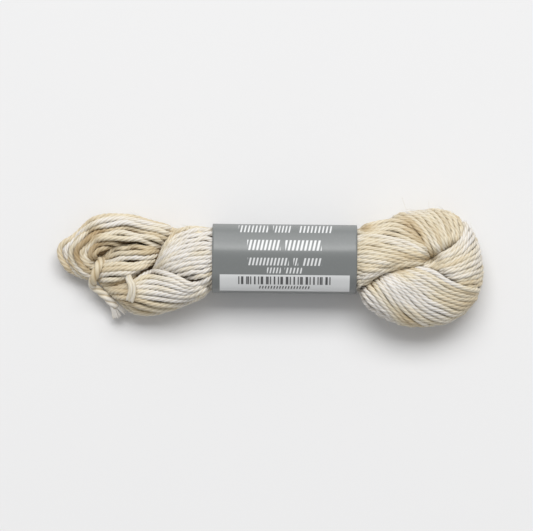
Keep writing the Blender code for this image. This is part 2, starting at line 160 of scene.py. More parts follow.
# Places where the dye took more or less: x, y, radius, and how much more.
DYED_PLACES = (
    (31.5, 13.0, 2.4, 0.40), (46.0, 14.6, 2.6, 0.25), (49.2, 11.2, 2.6, 0.30),
    (64.0, -13.0, 8.0, 0.22), (66.0, -6.0, 5.0, 0.15), (45.5, -15.5, 4.0, 0.20),
    # painted shade as well as dye: (47.5, 4.5) darkens the threads where the near rope dives into the
    # pinch, in shade
    (47.5, 4.5, 4.5, 0.20), (42.0, 1.0, 4.5, 0.28), (36.5, -15.5, 4.0, -0.25),
    (50.0, -8.0, 6.0, -0.30), (38.0, -7.0, 6.0, -0.25), (57.0, 12.0, 6.0, 0.20),
    (66.0, 10.0, 4.0, -0.25), (-65.0, 4.5, 4.5, 0.30), (-55.0, 5.0, 6.0, 0.15),
    (-59.0, 11.9, 3.4, 0.70), (-51.0, -7.8, 4.5, 0.22), (53.0, 2.8, 3.0, 0.25),
    (-50.0, -1.0, 6.0, 0.18), (-54.0, 18.0, 3.0, 0.15), (-34.0, 14.0, 6.0, 0.25),
    (-40.0, 4.0, 5.0, 0.10), (-47.0, -8.0, 4.0, 0.15), (-25.0, 6.0, 8.0, -0.20),
    (-30.0, -7.0, 8.0, -0.15),
)

# Guide lines of the threads: x, y and lift of each point, with no lift where it is 0.
# A fan's guide starts with the angle about the pinch at which it meets the rim.
NEAR_ROPE_GUIDES = (
    ((19.8, 13.3), (28.5, 13.3), (32.5, 14.2, 0.2), (35.8, 14.9, 0.3), (38.5, 15.4, 0.3), (40.8, 15.7, 0.2),
     (43.5, 15.1, -0.1), (46.2, 13.8, -0.6), (48.5, 12, -1.2), (50, 10.2, -2.2)),
    ((19.8, 12.5), (28.5, 12.3), (33.2, 12.9, 0.2), (37.8, 13.7, 0.2), (41.2, 13.8), (44.5, 12.8),
     (47.5, 11, -0.2), (50, 8.7, -0.8), (51.7, 6.7, -2.2)),
    ((19.8, 11.7), (28.5, 11.4), (33.8, 11.7), (38.5, 11.9), (42.5, 11.2), (46.5, 9.5), (49.8, 7.6, -0.1),
     (52.2, 5.8, -0.8), (53.6, 4.3, -2.4)),
    ((19.8, 10.3), (28.5, 10), (33.8, 10.1, 0.2), (38.5, 9.7, 0.2), (43.2, 8.5), (47.5, 6.7),
     (50.8, 4.9, 0.2), (52.8, 3.5, -0.6), (54.2, 2.5, -2.4)),
    ((19.8, 8.7), (28.5, 8.3), (33.5, 8.1), (38.5, 7.1), (42.5, 6.3), (46.5, 5.1), (50.2, 3.9),
     (52.6, 2.8, -0.4), (54.2, 2, -2.4)),
    ((19.8, 6.9), (28.5, 6.6), (33.5, 6.3), (38.5, 5.2), (42.5, 4.4), (46.5, 3.5), (49.8, 2.8),
     (52.2, 2.3, -0.4), (53.8, 1.7, -2.4)),
    ((19.8, 5), (28.5, 4.8), (33.2, 4.5, 0.3), (37.8, 3.6, 0.4), (41.8, 2.9, 0.3), (45.8, 2.4, 0.2),
     (49.2, 2.1), (51.5, 1.8, -0.4), (53.5, 1.3, -2.4)),
    ((19.8, 3), (28.5, 2.9), (33.2, 2.5, 0.1), (38.2, 2.1, 0.5), (42.5, 1.8, 0.8), (46.5, 1.7, 0.9),
     (49.8, 1.5, 0.4), (52.5, 0.9, -2)),
    ((19.8, 1.1), (28.5, 0.9), (33.2, 0.7, 0.2), (37.8, 0.8, 0.7), (41.8, 1.1, 1.1), (45.8, 1.2, 1.3),
     (49.2, 1.2, 0.7), (51.8, 0.9, -1.8)),
    ((19.8, -0.8), (28.5, -0.9), (31.8, -1.1, 0.4), (35.5, -0.7, 1), (39.2, 0, 1.5), (42.5, 0.6, 1.6),
     (45.8, 0.8, 1), (48.5, 0.6, -0.6), (50.8, 0.3, -2.2)),
    ((19.8, -2.6), (28.5, -2.7), (31.5, -2.6, 0.6), (34.2, -2, 1.3), (36.8, -1, 1.7), (39.5, -0.3, 1.3),
     (42.5, 0.1, 0), (45.5, 0.1, -2)),
    ((19.8, -4.1), (28.5, -4.2, 0.2), (30.7, -3.8, 0.9), (32.8, -3, 1.5), (35, -2.1, 1.6),
     (37.2, -1.3, 0.8), (39.8, -0.7, -1.2), (42.5, -0.5, -2.8)),
    ((19.8, -5.4), (28.5, -5.4, 0.3), (30.3, -4.8, 1.1), (32.2, -3.9, 1.4), (34, -3, 0.9),
     (35.8, -2.2, -0.6), (38.2, -1.6, -2.6)),
    ((19.8, -6.3), (28.5, -6.2, 0.4), (29.8, -5.7, 0.9), (31.4, -4.9, 0.8), (33, -4.1, -0.4),
     (34.8, -3.3, -2.4)))
FIRST_PLY_GUIDES = (
    (129.9, ((53.5, 2.7, -1.6), (53.4, 4.7, 0.4), (52.4, 7.3, 0.7), (51, 10, 0.9), (49, 12.7, 1),
     (46.5, 15, 1), (43.5, 16.7, 0.9))),
    (125.5, ((54.5, 3, -1.6), (54.5, 5.5, 0.2), (53.4, 8.3, 0.4), (51.7, 11.3, 0.5), (49.5, 14, 0.5),
     (47, 16.1, 0.4), (44.5, 17.5, 0.3))),
    (117.8, ((55.5, 3.7, -1.8), (55.5, 6), (54.5, 9.1), (52.8, 12.2), (50.6, 15.1), (48, 17.3))),
    (108.6, ((56.6, 4.5, -2), (56.6, 7), (56, 10, 0.3), (54.7, 13, 0.4), (52.7, 16, 0.3),
     (50.2, 18.2, 0.2))),
    (97.4, ((57.8, 5.1, -2), (58, 7.7), (57.6, 10.7), (56.7, 13.7), (55, 16.5), (52.8, 18.5))),
    (87, ((59.2, 5.7, -2), (59.4, 8.3), (59.3, 11.3, 0.2), (58.6, 14, 0.3), (57.3, 16.7, 0.2),
     (55.5, 18.9))),
    (76.8, ((60.3, 6.5, -2), (60.8, 9), (61, 11.7), (60.5, 14.2), (59.5, 16.7), (58.3, 18.7))),
    (66, ((61.5, 7.5, -2), (62.2, 9.7), (62.4, 12), (62.2, 14.2), (61.4, 16.3))),
    (55.1, ((62.5, 8.7, -2), (63.3, 10.7), (63.6, 12.7), (63.6, 14.5))),
    (47.9, ((63.3, 9.7, -2), (64.2, 11.7), (64.6, 13.3))))
SECOND_PLY_GUIDES = (
    (44.5, ((49, 0.7, -0.8), (51.2, 1.3, 0.5), (53.5, 2.4, 0.8), (56, 3.8, 0.8), (58.6, 5.2, 0.9),
     (61, 7, 1), (63, 9.1, 1), (64.4, 11.5, 0.8), (65.3, 13.5, 0.5))),
    (35.3, ((49.5, 0.1, -1.2), (51.8, 0.3, 0.2), (54.4, 1.3, 0.4), (57.4, 2.9, 0.4), (60.4, 4.5, 0.4),
     (63, 6.6, 0.5), (65.2, 9, 0.4), (66.7, 11.3, 0.3))),
    (25.8, ((52.5, -0.3, -1.2), (55.4, 0.5), (58.6, 1.7), (61.8, 3.3), (64.6, 5.3), (67, 7.5))),
    (15.8, ((54, -0.5, -1.4), (57, 0), (60.4, 1.1, 0.3), (63.6, 2.4, 0.3), (66.5, 4.1, 0.3), (68.8, 5.9))),
    (6.2, ((55.4, -1.1, -1.4), (58.5, -0.8, 0.2), (61.8, 0.1, 0.4), (65, 1.3, 0.4), (67.8, 2.7, 0.3))),
    (-0.3, ((56.4, -2.1, -1.5), (59.6, -1.9), (63, -1.3, 0.2), (66.2, -0.1, 0.3), (68.7, 1.1, 0.2))),
    (-8, ((57.6, -3, -1.6), (60.8, -3, 0.2), (64.2, -2.5, 0.3), (67.2, -1.5, 0.3), (69.5, -0.7))),
    (-14.5, ((59.2, -3.9, -1.6), (62.2, -4.1), (65.3, -3.7), (68.2, -3))),
    (-20.7, ((60.8, -4.9, -1.6), (63.6, -5.1, 0.2), (66.5, -5, 0.2), (68.8, -4.7))),
    (-26.3, ((62.6, -5.8, -1.6), (65.2, -6.2), (67.8, -6.3))),
    (-30.6, ((64.5, -6.7, -1.6), (66.8, -7.1), (68.8, -7.3))))
THIRD_PLY_GUIDES = (
    (-32.3, ((43.5, 0.9, -3.6), (46.5, 0.5, -1), (49.5, -0.1, 0.8), (52.3, -0.9, 1), (54.8, -2.1, 1.1),
     (57.3, -3.7, 1.1), (60, -5.1, 1.1), (62.8, -6.3, 1), (65.8, -7.1, 0.8))),
    (-35.6, ((41.2, 0.9, -3.6), (44.5, -0.4, -1), (47.8, -1.1, 0.2), (51, -2.2, 0.3), (54, -3.8, 0.3),
     (57, -5.5, 0.4), (60.2, -7, 0.4), (63.7, -8.1, 0.3), (67, -8.7))),
    (-40.7, ((39.8, 0.8, -3.6), (43.2, -1, -1), (46.8, -2.6), (50.3, -4.4), (53.6, -6.4), (57, -8.2),
     (60.7, -9.5), (64.5, -10.3))),
    (-47.4, ((39, 0.7, -3.6), (42.2, -1.8, -1), (45.5, -4), (48.8, -6.3), (52.2, -8.6), (55.7, -10.6),
     (59.5, -12.1), (63.4, -13))),
    (-54.6, ((37.8, 0.5, -3.6), (40.7, -2.3, -1), (43.7, -5.1, 0.2), (46.8, -7.8, 0.3), (50, -10.5, 0.3),
     (53.5, -12.7, 0.2), (57.4, -14.3), (61.2, -15.2))),
    (-63.8, ((36.5, 0, -3.6), (39.2, -3, -1), (42, -6.2), (44.8, -9.3), (47.8, -12.2), (51, -14.7),
     (54.6, -16.3), (58.5, -17.1))),
    (-74.2, ((35.2, -0.7, -3.6), (37.6, -3.8, -1), (40.2, -7.3, 0.2), (42.8, -10.7, 0.3),
     (45.6, -13.8, 0.3), (48.7, -16.3, 0.2), (52.4, -18), (56.6, -18.8))),
    (-87.7, ((33.6, -1.7, -3.6), (36, -4.8, -1), (38.5, -8.3), (41, -11.8), (43.6, -14.9), (46.6, -17.3),
     (50.2, -19))),
    (-100.9, ((32, -2.9, -3.6), (34.4, -5.9, -1), (36.8, -9.3), (39.3, -12.7), (42, -15.5), (45.2, -17.9))),
    (-113.1, ((30.3, -4, -3.6), (32.6, -7, -1), (35, -10.1), (37.6, -13.1), (40.4, -15.7))),
    (-125, ((28.5, -5, -3.6), (30.7, -8, -1), (33.2, -10.9), (35.8, -13.5))),
    (-137.1, ((26.5, -5.8, -3.6), (28.8, -8.9, -1), (31.3, -11.6))),
    (-146.9, ((24.5, -6.1, -3), (26.5, -8.1, -0.8), (28.6, -10.1))))
UPPER_PLY_GUIDES = (
    ((-16.2, 13.8), (-21.5, 13.8), (-25.8, 13.7, 0.4), (-29.2, 12.8, 0.7), (-31.8, 11.3, 0.9),
     (-33.8, 9, 1), (-35.2, 6.7, 0.8), (-36.2, 4.3, -2.4)),
    ((-16.2, 12.3), (-20.8, 12.3), (-25.5, 12), (-29.2, 11, 0.4), (-32.2, 9.2, 0.6), (-34.5, 6.8, 0.6),
     (-36.2, 4.3, 0.4), (-37.2, 2, -2.4)),
    ((-16.2, 10.3), (-20.2, 10.3), (-25.2, 10), (-29.5, 8.8), (-32.8, 7, 0.2), (-35.2, 4.8, 0.3),
     (-37, 2.5, 0.3), (-38.2, 0.3, -2.4)),
    ((-16.2, 8.3), (-20.2, 8.3), (-25.2, 7.8), (-29.8, 6.7), (-33.2, 5.2), (-35.7, 3.3, 0.2),
     (-37.7, 1.2, 0.2), (-39, -0.8, -2.4)),
    ((-16.2, 6.3), (-20.2, 6.2), (-24.8, 5.7), (-30.2, 4.7), (-33.5, 3.3), (-36.3, 1.5), (-38.3, -0.2, 0.2),
     (-39.8, -1.8, -2.4)),
    ((-16.2, 4.3), (-20.2, 4.2), (-24.8, 3.7), (-29.8, 2.8), (-33.5, 1.7), (-36.3, 0.2),
     (-38.7, -1.2, -2.6)),
    ((-16.2, 2.3), (-20.2, 2.2), (-24.8, 1.7), (-29.5, 1), (-33.2, -0.1), (-35.8, -1.2),
     (-37.8, -2.2, -2.6)),
    ((-16.2, 0.3), (-20.2, 0.2), (-24.8, -0.2), (-29.2, -0.8), (-32.5, -1.7), (-35, -2.7, -2.4)),
    ((-16.2, -1.1), (-20.2, -1.3), (-24.5, -1.7), (-28.2, -2.3), (-30.8, -3.2), (-33.2, -4, -2.4)),
    ((-16.2, -2.3), (-20.2, -2.4), (-23.5, -2.7), (-26.5, -3.3, -0.3), (-29.5, -4.2, -1.6)),
    ((-16.2, -3.3), (-19.5, -3.4, -1), (-22.2, -4, -1.8), (-24.8, -5, -2.6)))
LOWER_LOBE_GUIDES = (
    ((-16.2, -3.1), (-18.8, -3.1, 0.1), (-21.5, -4, 0.4), (-24.2, -5, 0.7), (-26.8, -5.3, 1),
     (-30.2, -3.9, 1.2), (-33.8, -2.3, 1.3), (-36.8, -1.3, 1.3), (-39.5, -1.3, 1.2), (-41.8, -2.3, 0.8),
     (-44.2, -3.9, 0.2), (-46.8, -5.3, -0.8), (-50.8, -6.2, -1.2), (-55.5, -6.1, -1.8)),
    ((-16.2, -3.5), (-18.8, -3.7), (-21.5, -4.7, 0.2), (-24.5, -6, 0.3), (-27.5, -6.3, 0.4),
     (-30.5, -5.3, 0.5), (-33.8, -3.9, 0.6), (-37.2, -3.1, 0.7), (-40.5, -3.1, 0.6), (-43.2, -3.9, 0.2),
     (-46.2, -5, -0.8), (-49.5, -6.1, -2), (-52.8, -6.5, -2.6)),
    ((-16.2, -3.9), (-18.8, -4.3), (-21.5, -5.4), (-24.8, -6.9), (-27.8, -7.3), (-30.8, -6.5, 0.1),
     (-33.8, -5.6, 0.2), (-37.5, -4.8, 0.3), (-41.2, -4.7, 0.3), (-44.2, -5.3, 0.2), (-47.5, -6.2, 0.2),
     (-50.8, -6.7, 0.2), (-54.2, -6.7), (-57.2, -6.4, -1)),
    ((-16.2, -4.3), (-18.8, -4.7), (-21.5, -6), (-24.8, -7.7), (-28.2, -8.3), (-31.5, -7.9), (-34.5, -7.1),
     (-37.8, -6.5), (-41.5, -6.3), (-44.5, -6.6), (-47.5, -7.2, -0.8), (-50.5, -7.5, -2),
     (-53.5, -7.3, -2.6)),
    ((-16.2, -4.8), (-18.8, -5.3), (-21.5, -6.6), (-24.8, -8.4), (-28.2, -9.4), (-31.5, -9.4),
     (-34.8, -8.8), (-38.2, -8.2), (-41.2, -7.8), (-44.5, -7.8), (-47.8, -8.1, 0.2), (-50.8, -8, 0.3),
     (-53.8, -7.7, 0.1), (-57, -6.9, -1)),
    ((-16.2, -5.3), (-18.8, -5.9), (-21.5, -7.2), (-24.8, -9.2), (-28.2, -10.5), (-31.8, -10.9),
     (-35.2, -10.5), (-38.2, -9.9), (-41.2, -9.5), (-44.8, -9.1), (-47.8, -9.1, -0.8), (-50.8, -8.9, -2),
     (-53.8, -8.3, -2.6)),
    ((-16.2, -6), (-18.8, -6.5), (-21.5, -7.7), (-24.8, -10), (-28.2, -11.5), (-31.8, -12.3),
     (-35.8, -12.2), (-39.2, -11.6), (-41.8, -11), (-44.8, -10.5), (-48.2, -9.9, 0.2), (-51.2, -9.3, 0.3),
     (-54.2, -8.6, 0.2), (-56.8, -7.5, -0.8)),
    ((-16.2, -6.9), (-18.8, -7.3), (-21.5, -8.2), (-24.5, -10.5), (-28.5, -12.4), (-33.2, -13.5),
     (-37.8, -13.7), (-42.2, -13.1), (-45.8, -12.1), (-49.2, -10.9, -0.6), (-52.2, -9.5, -1.6),
     (-54.8, -8.2, -2.4)),
    ((-16.2, -7.5), (-18.8, -7.7), (-21.5, -8.5), (-24.5, -11.1), (-28.5, -13), (-33.5, -14.5),
     (-38.2, -15.2), (-42.5, -15.1), (-46.5, -14.2), (-49.8, -12.1), (-52.8, -9.5), (-54.8, -7.6),
     (-56.5, -6.5, -0.8)))
LOOPS_GUIDES = (
    ((-28.8, 12.8, -2.4), (-32.8, 13.9, 0.2), (-36.8, 15, 0.4), (-41.8, 16.3, 0.4), (-48.2, 17.6, 0.4),
     (-54.2, 17.5, 0.4), (-59.2, 16, 0.4), (-63.2, 13, 0.3), (-66.5, 10.2, 0.7), (-69, 8.5, 1.3),
     (-70.2, 6.5, 1.6), (-70.1, 4.1, 1.6), (-69.2, 1.9, 1.4), (-67.6, -0.3, 1), (-65.5, -2.5, 0.4),
     (-62.5, -4.5), (-59.5, -5.3), (-56.2, -5.3, 0.2), (-52.8, -5, 0.2), (-49.5, -4.2), (-46.5, -3.2, -0.6),
     (-43.8, -2.3, -2)),
    ((-29.8, 11.9, -2.4), (-33.5, 13, 0.4), (-37.5, 14.1, 0.7), (-42.8, 15.3, 0.8), (-48.8, 16.3, 0.9),
     (-54.2, 16.1, 0.9), (-58.8, 14.8, 0.8), (-62.5, 12.3, 0.5), (-65.8, 9.1, 0.3), (-68, 6.9, 0.4),
     (-68.2, 4.7, 0.3), (-67.4, 2.1), (-65.9, -0.3), (-63.7, -2.3), (-61.2, -3.8), (-58.5, -4.1, 0.2),
     (-55.2, -4, 0.3), (-51.8, -3.7, 0.3), (-48.5, -2.9), (-45.5, -1.8, -0.6), (-42.8, -0.9, -2)),
    ((-31.2, 10.4, -2.4), (-34.8, 11.7, 0.4), (-38.8, 13, 0.6), (-43.8, 14.1, 0.7), (-49.5, 14.8, 0.8),
     (-54.2, 14.5, 0.7), (-58.2, 13.5, 0.4), (-61.5, 11.7, -0.2), (-64.2, 9.2), (-66.2, 6.5, 0.2),
     (-66.2, 3.8, 0.2), (-65, 1.3), (-63.2, -0.7), (-61, -2.2), (-58.5, -2.7, 0.2), (-55.2, -2.3, 0.4),
     (-51.5, -2, 0.4), (-47.8, -1.3), (-44.5, -0.5, -0.4), (-41.2, 0.5, -2)),
    ((-32.5, 8.8, -2.4), (-35.8, 10.1, -0.2), (-39.5, 11.5, -0.3), (-44.2, 12.7, -0.4), (-49.5, 13.1, -0.5),
     (-53.8, 12.8, -0.6), (-57.2, 11.8, -0.6), (-60.2, 10.2, 0.3), (-62.8, 8.2, 0.5), (-64.5, 5.9, 0.5),
     (-64.5, 3.5, 0.3), (-63.5, 1.3), (-61.8, -0.5), (-60, -1.5), (-57.5, -1.2, 0.2), (-54.2, -0.6, 0.4),
     (-50.2, -0.3, 0.4), (-46.2, -0.1), (-42.5, 0.5, -0.4), (-39.5, 1.5, -2)),
    ((-33.8, 7.7, -2.4), (-37.2, 9.1), (-40.8, 10.2, 0.3), (-45.5, 11.3, 0.3), (-50.2, 11.7, 0.3),
     (-53.8, 11.3, 0.4), (-57.2, 10.4, 0.4), (-59.8, 8.9, 0.4), (-61.8, 7, 0.4), (-63, 5, 0.3),
     (-62.5, 2.9), (-61.2, 1.1), (-59.5, 0), (-57.2, 0.3), (-53.8, 1, 0.2), (-49.8, 1.3, 0.3), (-45.8, 1.2),
     (-41.8, 1.7, -0.4), (-38.5, 2.8, -2)),
    ((-34.8, 6.7, -2.4), (-37.8, 7.7, 0.2), (-41.5, 8.7, 0.4), (-46.2, 9.7, 0.6), (-50.8, 10.1, 0.8),
     (-54.8, 9.8, 0.8), (-58.2, 8.9, 0.6), (-60.4, 7.5, 0.2), (-61.6, 5.8), (-61.6, 3.9), (-60.5, 2.2),
     (-58.8, 1.2), (-56.5, 1.5, -0.2), (-53.2, 2.3, -0.3), (-49.5, 3, -0.3), (-45.5, 3.4, -0.3),
     (-41.5, 3.7, -0.8), (-37.5, 4.5, -2)),
    ((-43.5, 8.1, -3), (-46.8, 7.9, -1.4), (-50.5, 8.1, -0.9), (-54.2, 8.3, -0.6), (-57.2, 7.8, -0.4),
     (-59.4, 6.4, -0.4), (-60.4, 4.7, -0.4), (-59.8, 3, -0.6), (-58.3, 2.1, -0.6), (-56.3, 2.5, -0.4),
     (-54.5, 3.4, -0.2), (-52.2, 4.2), (-48.8, 4.9, 0.3), (-45.2, 5.1, 0.3), (-41.2, 5.3, -0.2),
     (-37.2, 5.3, -2)),
    ((-48.8, 7.2, -3.4), (-51.5, 7.1, -2.4), (-54.2, 6.9, -1.6), (-56.5, 6.4, -1.2), (-58.2, 5.3, -1),
     (-58.8, 4, -1), (-58, 2.9, -1), (-56.6, 3, -0.8), (-55.2, 4.1, -0.3), (-53.5, 5.3), (-51.5, 6.3, 0.4),
     (-48.8, 6.7, 0.6), (-45.2, 6.9, 0.6), (-40.8, 6.6, 0.2), (-36.8, 6.1, -2)))
OPENING_GUIDES = (
    ((-58, 4.6, -2.6), (-55.4, 5, -2.8), (-51, 6.9, -2.8), (-45, 7.6, -2.4), (-38, 7.1, -2.2),
     (-34, 6.6, -3)),
    ((-57.4, 3.4, -2.8), (-54, 4.4, -3), (-49, 6.2, -2.8), (-43, 6.7, -2.6), (-37, 6.5, -2.4),
     (-33, 6.2, -3)))


class Side(Enum):
    """Which face of the wound form a thread lies on."""

    TOP = 1
    UNDER = -1


def unit(vectors: Array) -> Array:
    """Scale vectors, which lie along the last axis, to a length of 1."""
    return vectors / np.maximum(np.linalg.norm(vectors, axis=-1, keepdims=True), TINY)


def pointing(angle: Array) -> Array:
    """Return the direction (cos, sin) of each angle."""
    return np.column_stack([np.cos(angle), np.sin(angle)])


def every_other(threads: int) -> Array:
    """Return 0 and 1 in turn, a row for each thread."""
    return (np.arange(threads) % 2)[:, None]


def by_side(top: Sequence[tuple], under: Sequence[tuple]) -> list[tuple]:
    """Join the rows of the top and of the underside, each with its side in front."""
    return [(Side.TOP, *row) for row in top] + [(Side.UNDER, *row) for row in under]


def smoothstep(low: float, high: float, value: Array) -> Array:
    """Rise from 0 at low to 1 at high as 3t^2 - 2t^3.

    Args:
        low: value at which the rise starts.
        high: value at which it ends.
        value: values to read it at.
    Returns:
        The rise at each value.
    """
    t = np.clip((value - low) / (high - low), 0, 1)
    return t * t * (3 - 2 * t)


def smooth_rows(rows: Any, at: Array) -> Array:
    """Read a table's columns at new values of its first column, with a monotone cubic.

    Each cell is a cubic Hermite curve whose end slopes are weighted harmonic means of the slopes
    beside them, and zero at a turning point, so the curve never overshoots the table.

    Args:
        rows: table whose first column rises.
        at: values of the first column.
    Returns:
        One row of the other columns for each value.
    """
    rows = np.asarray(rows, float)
    x = rows[:, 0]
    values = rows[:, 1:]
    step = np.diff(x)[:, None]
    rise = np.diff(values, axis=0) / step
    slope = np.zeros_like(values)
    if len(x) > 2:
        before = 2 * step[1:] + step[:-1]
        after = step[1:] + 2 * step[:-1]
        with np.errstate(divide="ignore", invalid="ignore"):
            mean = (before + after) / (before / rise[:-1] + after / rise[1:])
        slope[1:-1] = np.where(rise[:-1] * rise[1:] > 0, mean, 0.0)
    slope[0], slope[-1] = rise[0], rise[-1]
    at = np.clip(at, x[0], x[-1])
    cell = np.clip(np.searchsorted(x, at) - 1, 0, len(x) - 2)
    width = step[cell]
    t = (at - x[cell])[:, None] / width
    return (values[cell] * (2 * t**3 - 3 * t**2 + 1) + slope[cell] * width * (t**3 - 2 * t**2 + t)
            + values[cell + 1] * (3 * t**2 - 2 * t**3) + slope[cell + 1] * width * (t**3 - t**2))


def lengths_along(paths: Array) -> Array:
    """Return the distance along each path at each of its points, by summing its steps."""
    steps = np.linalg.norm(np.diff(paths, axis=-2), axis=-1)
    return np.concatenate([np.zeros(steps.shape[:-1] + (1,)), np.cumsum(steps, axis=-1)], axis=-1)


def read_at(path: Array, known: Array, wanted: Array) -> Array:
    """Read each column of a path at wanted values of a measure that is known at its points."""
    return np.stack([np.interp(wanted, known, column) for column in path.T], axis=1)


def smooth_path(points: Any, count: int, measured: int = 2) -> Array:
    """Return points spread evenly along a Catmull-Rom curve through the given ones.

    Each stretch is a cubic, and its slope at a knot is half the step between the knots on either
    side of that one.

    Args:
        points: guide points, x and y first, then any other columns.
        count: how many points to return.
        measured: how many of the columns count in the length.
    Returns:
        The curve's points.
    """
    steps = 16
    points = np.asarray(points, float)
    ends = np.vstack([2 * points[0] - points[1], points, 2 * points[-1] - points[-2]])
    t = np.linspace(0, 1, steps, endpoint=False)[None, :, None]
    before, start, stop, after = (ends[k:len(ends) - 3 + k, None, :] for k in range(4))
    curve = 0.5 * (2 * start + (stop - before) * t + (2 * before - 5 * start + 4 * stop - after) * t**2
                   + (3 * start - before - 3 * stop + after) * t**3)
    curve = np.vstack([curve.reshape(-1, points.shape[1]), points[-1:]])
    known = lengths_along(curve[:, :measured])
    return read_at(curve, known, np.linspace(0, known[-1], count))


def relax(paths: Array, times: int) -> Array:
    """Take kinks out of paths: each inner point moves to a quarter, half, quarter mean.

    Args:
        paths: paths of shape (threads, points, columns).
        times: how often.
    Returns:
        The relaxed paths, their ends unmoved.
    """
    for _ in range(times):
        inner = 0.25 * paths[:, :-2] + 0.5 * paths[:, 1:-1] + 0.25 * paths[:, 2:]
        paths = np.concatenate([paths[:, :1], inner, paths[:, -1:]], axis=1)
    return paths


def wander(rng: np.random.Generator, threads: int, points: int, waves: float) -> Array:
    """Return a smooth random wave for each thread: a sum of four sines of random phase.

    Args:
        rng: seeded source of chance.
        threads: how many threads.
        points: how many points on each.
        waves: rough number of waves along a thread.
    Returns:
        Values of about -1 to 1, of shape (threads, points).
    """
    sines, usual_peak = 4, 2.2
    t = np.linspace(0, 1, points)[None, None, :]
    pitch = waves * rng.uniform(0.5, 1.6, (threads, sines, 1))
    phase = rng.uniform(0, 1, (threads, sines, 1))
    return np.sin(FULL_TURN * (pitch * t + phase)).sum(axis=1) / usual_peak


def with_lift(points: Sequence[Sequence[float]]) -> list[tuple[float, ...]]:
    """Give every guide point a lift, 0 where it has none."""
    return [tuple(point) + (0.0,) * (3 - len(point)) for point in points]


@dataclass(frozen=True)
class BandForm:
    """The band's place and section, in millimetres."""

    length: float = 47.9
    middle: tuple[float, float] = (4.65, 3.02)
    height: float = 10.5
    turn_degrees: float = -0.56
    wall: float = 0.6
    clearance: float = 0.3
    fade: tuple[float, float] = (0.3, 3.0)

    def axis_y(self, x: Array) -> Array:
        """Return y of the band's middle line at x."""
        return self.middle[1] + (x - self.middle[0]) * math.tan(math.radians(self.turn_degrees))

    def holds(self, x: Array) -> Array:
        """Return 1 within the band, falling to 0 over the fade outside it."""
        return 1 - smoothstep(*self.fade, np.abs(x - self.middle[0]) - self.length / 2)

    def section(self, inset: float, cuts: Sequence[float] = (0.28, 0.25)) -> Array:
        """Return the closed section with its corners cut, moved inwards.

        Args:
            inset: how far inwards.
            cuts: share of each side that is cut off at both its ends, once for each round.
        Returns:
            Points (y, z) about the band's middle, anticlockwise from +y.
        """
        corners = np.asarray(BAND_CREASES, float)
        for share in cuts:
            following = np.roll(corners, -1, axis=0)
            first = corners + share * (following - corners)
            second = following + share * (corners - following)
            corners = np.stack([first, second], axis=1).reshape(-1, 2)
        along = np.roll(corners, -1, axis=0) - np.roll(corners, 1, axis=0)
        return corners + inset * unit(np.stack([-along[:, 1], along[:, 0]], axis=1))

    def reach(self, inset: Array, angle: Array) -> Array:
        """Return the distance from the middle to the section, read between its corners.

        Args:
            inset: how much to take off it.
            angle: angles about the band's middle.
        Returns:
            The distance at each angle.
        """
        section = self.section(0.0)
        turn = np.arctan2(section[:, 1], section[:, 0])
        order = np.argsort(turn)
        distance = np.hypot(*section[order].T)
        read = np.interp(angle.ravel(), turn[order], distance, period=FULL_TURN).reshape(angle.shape)
        return read - inset


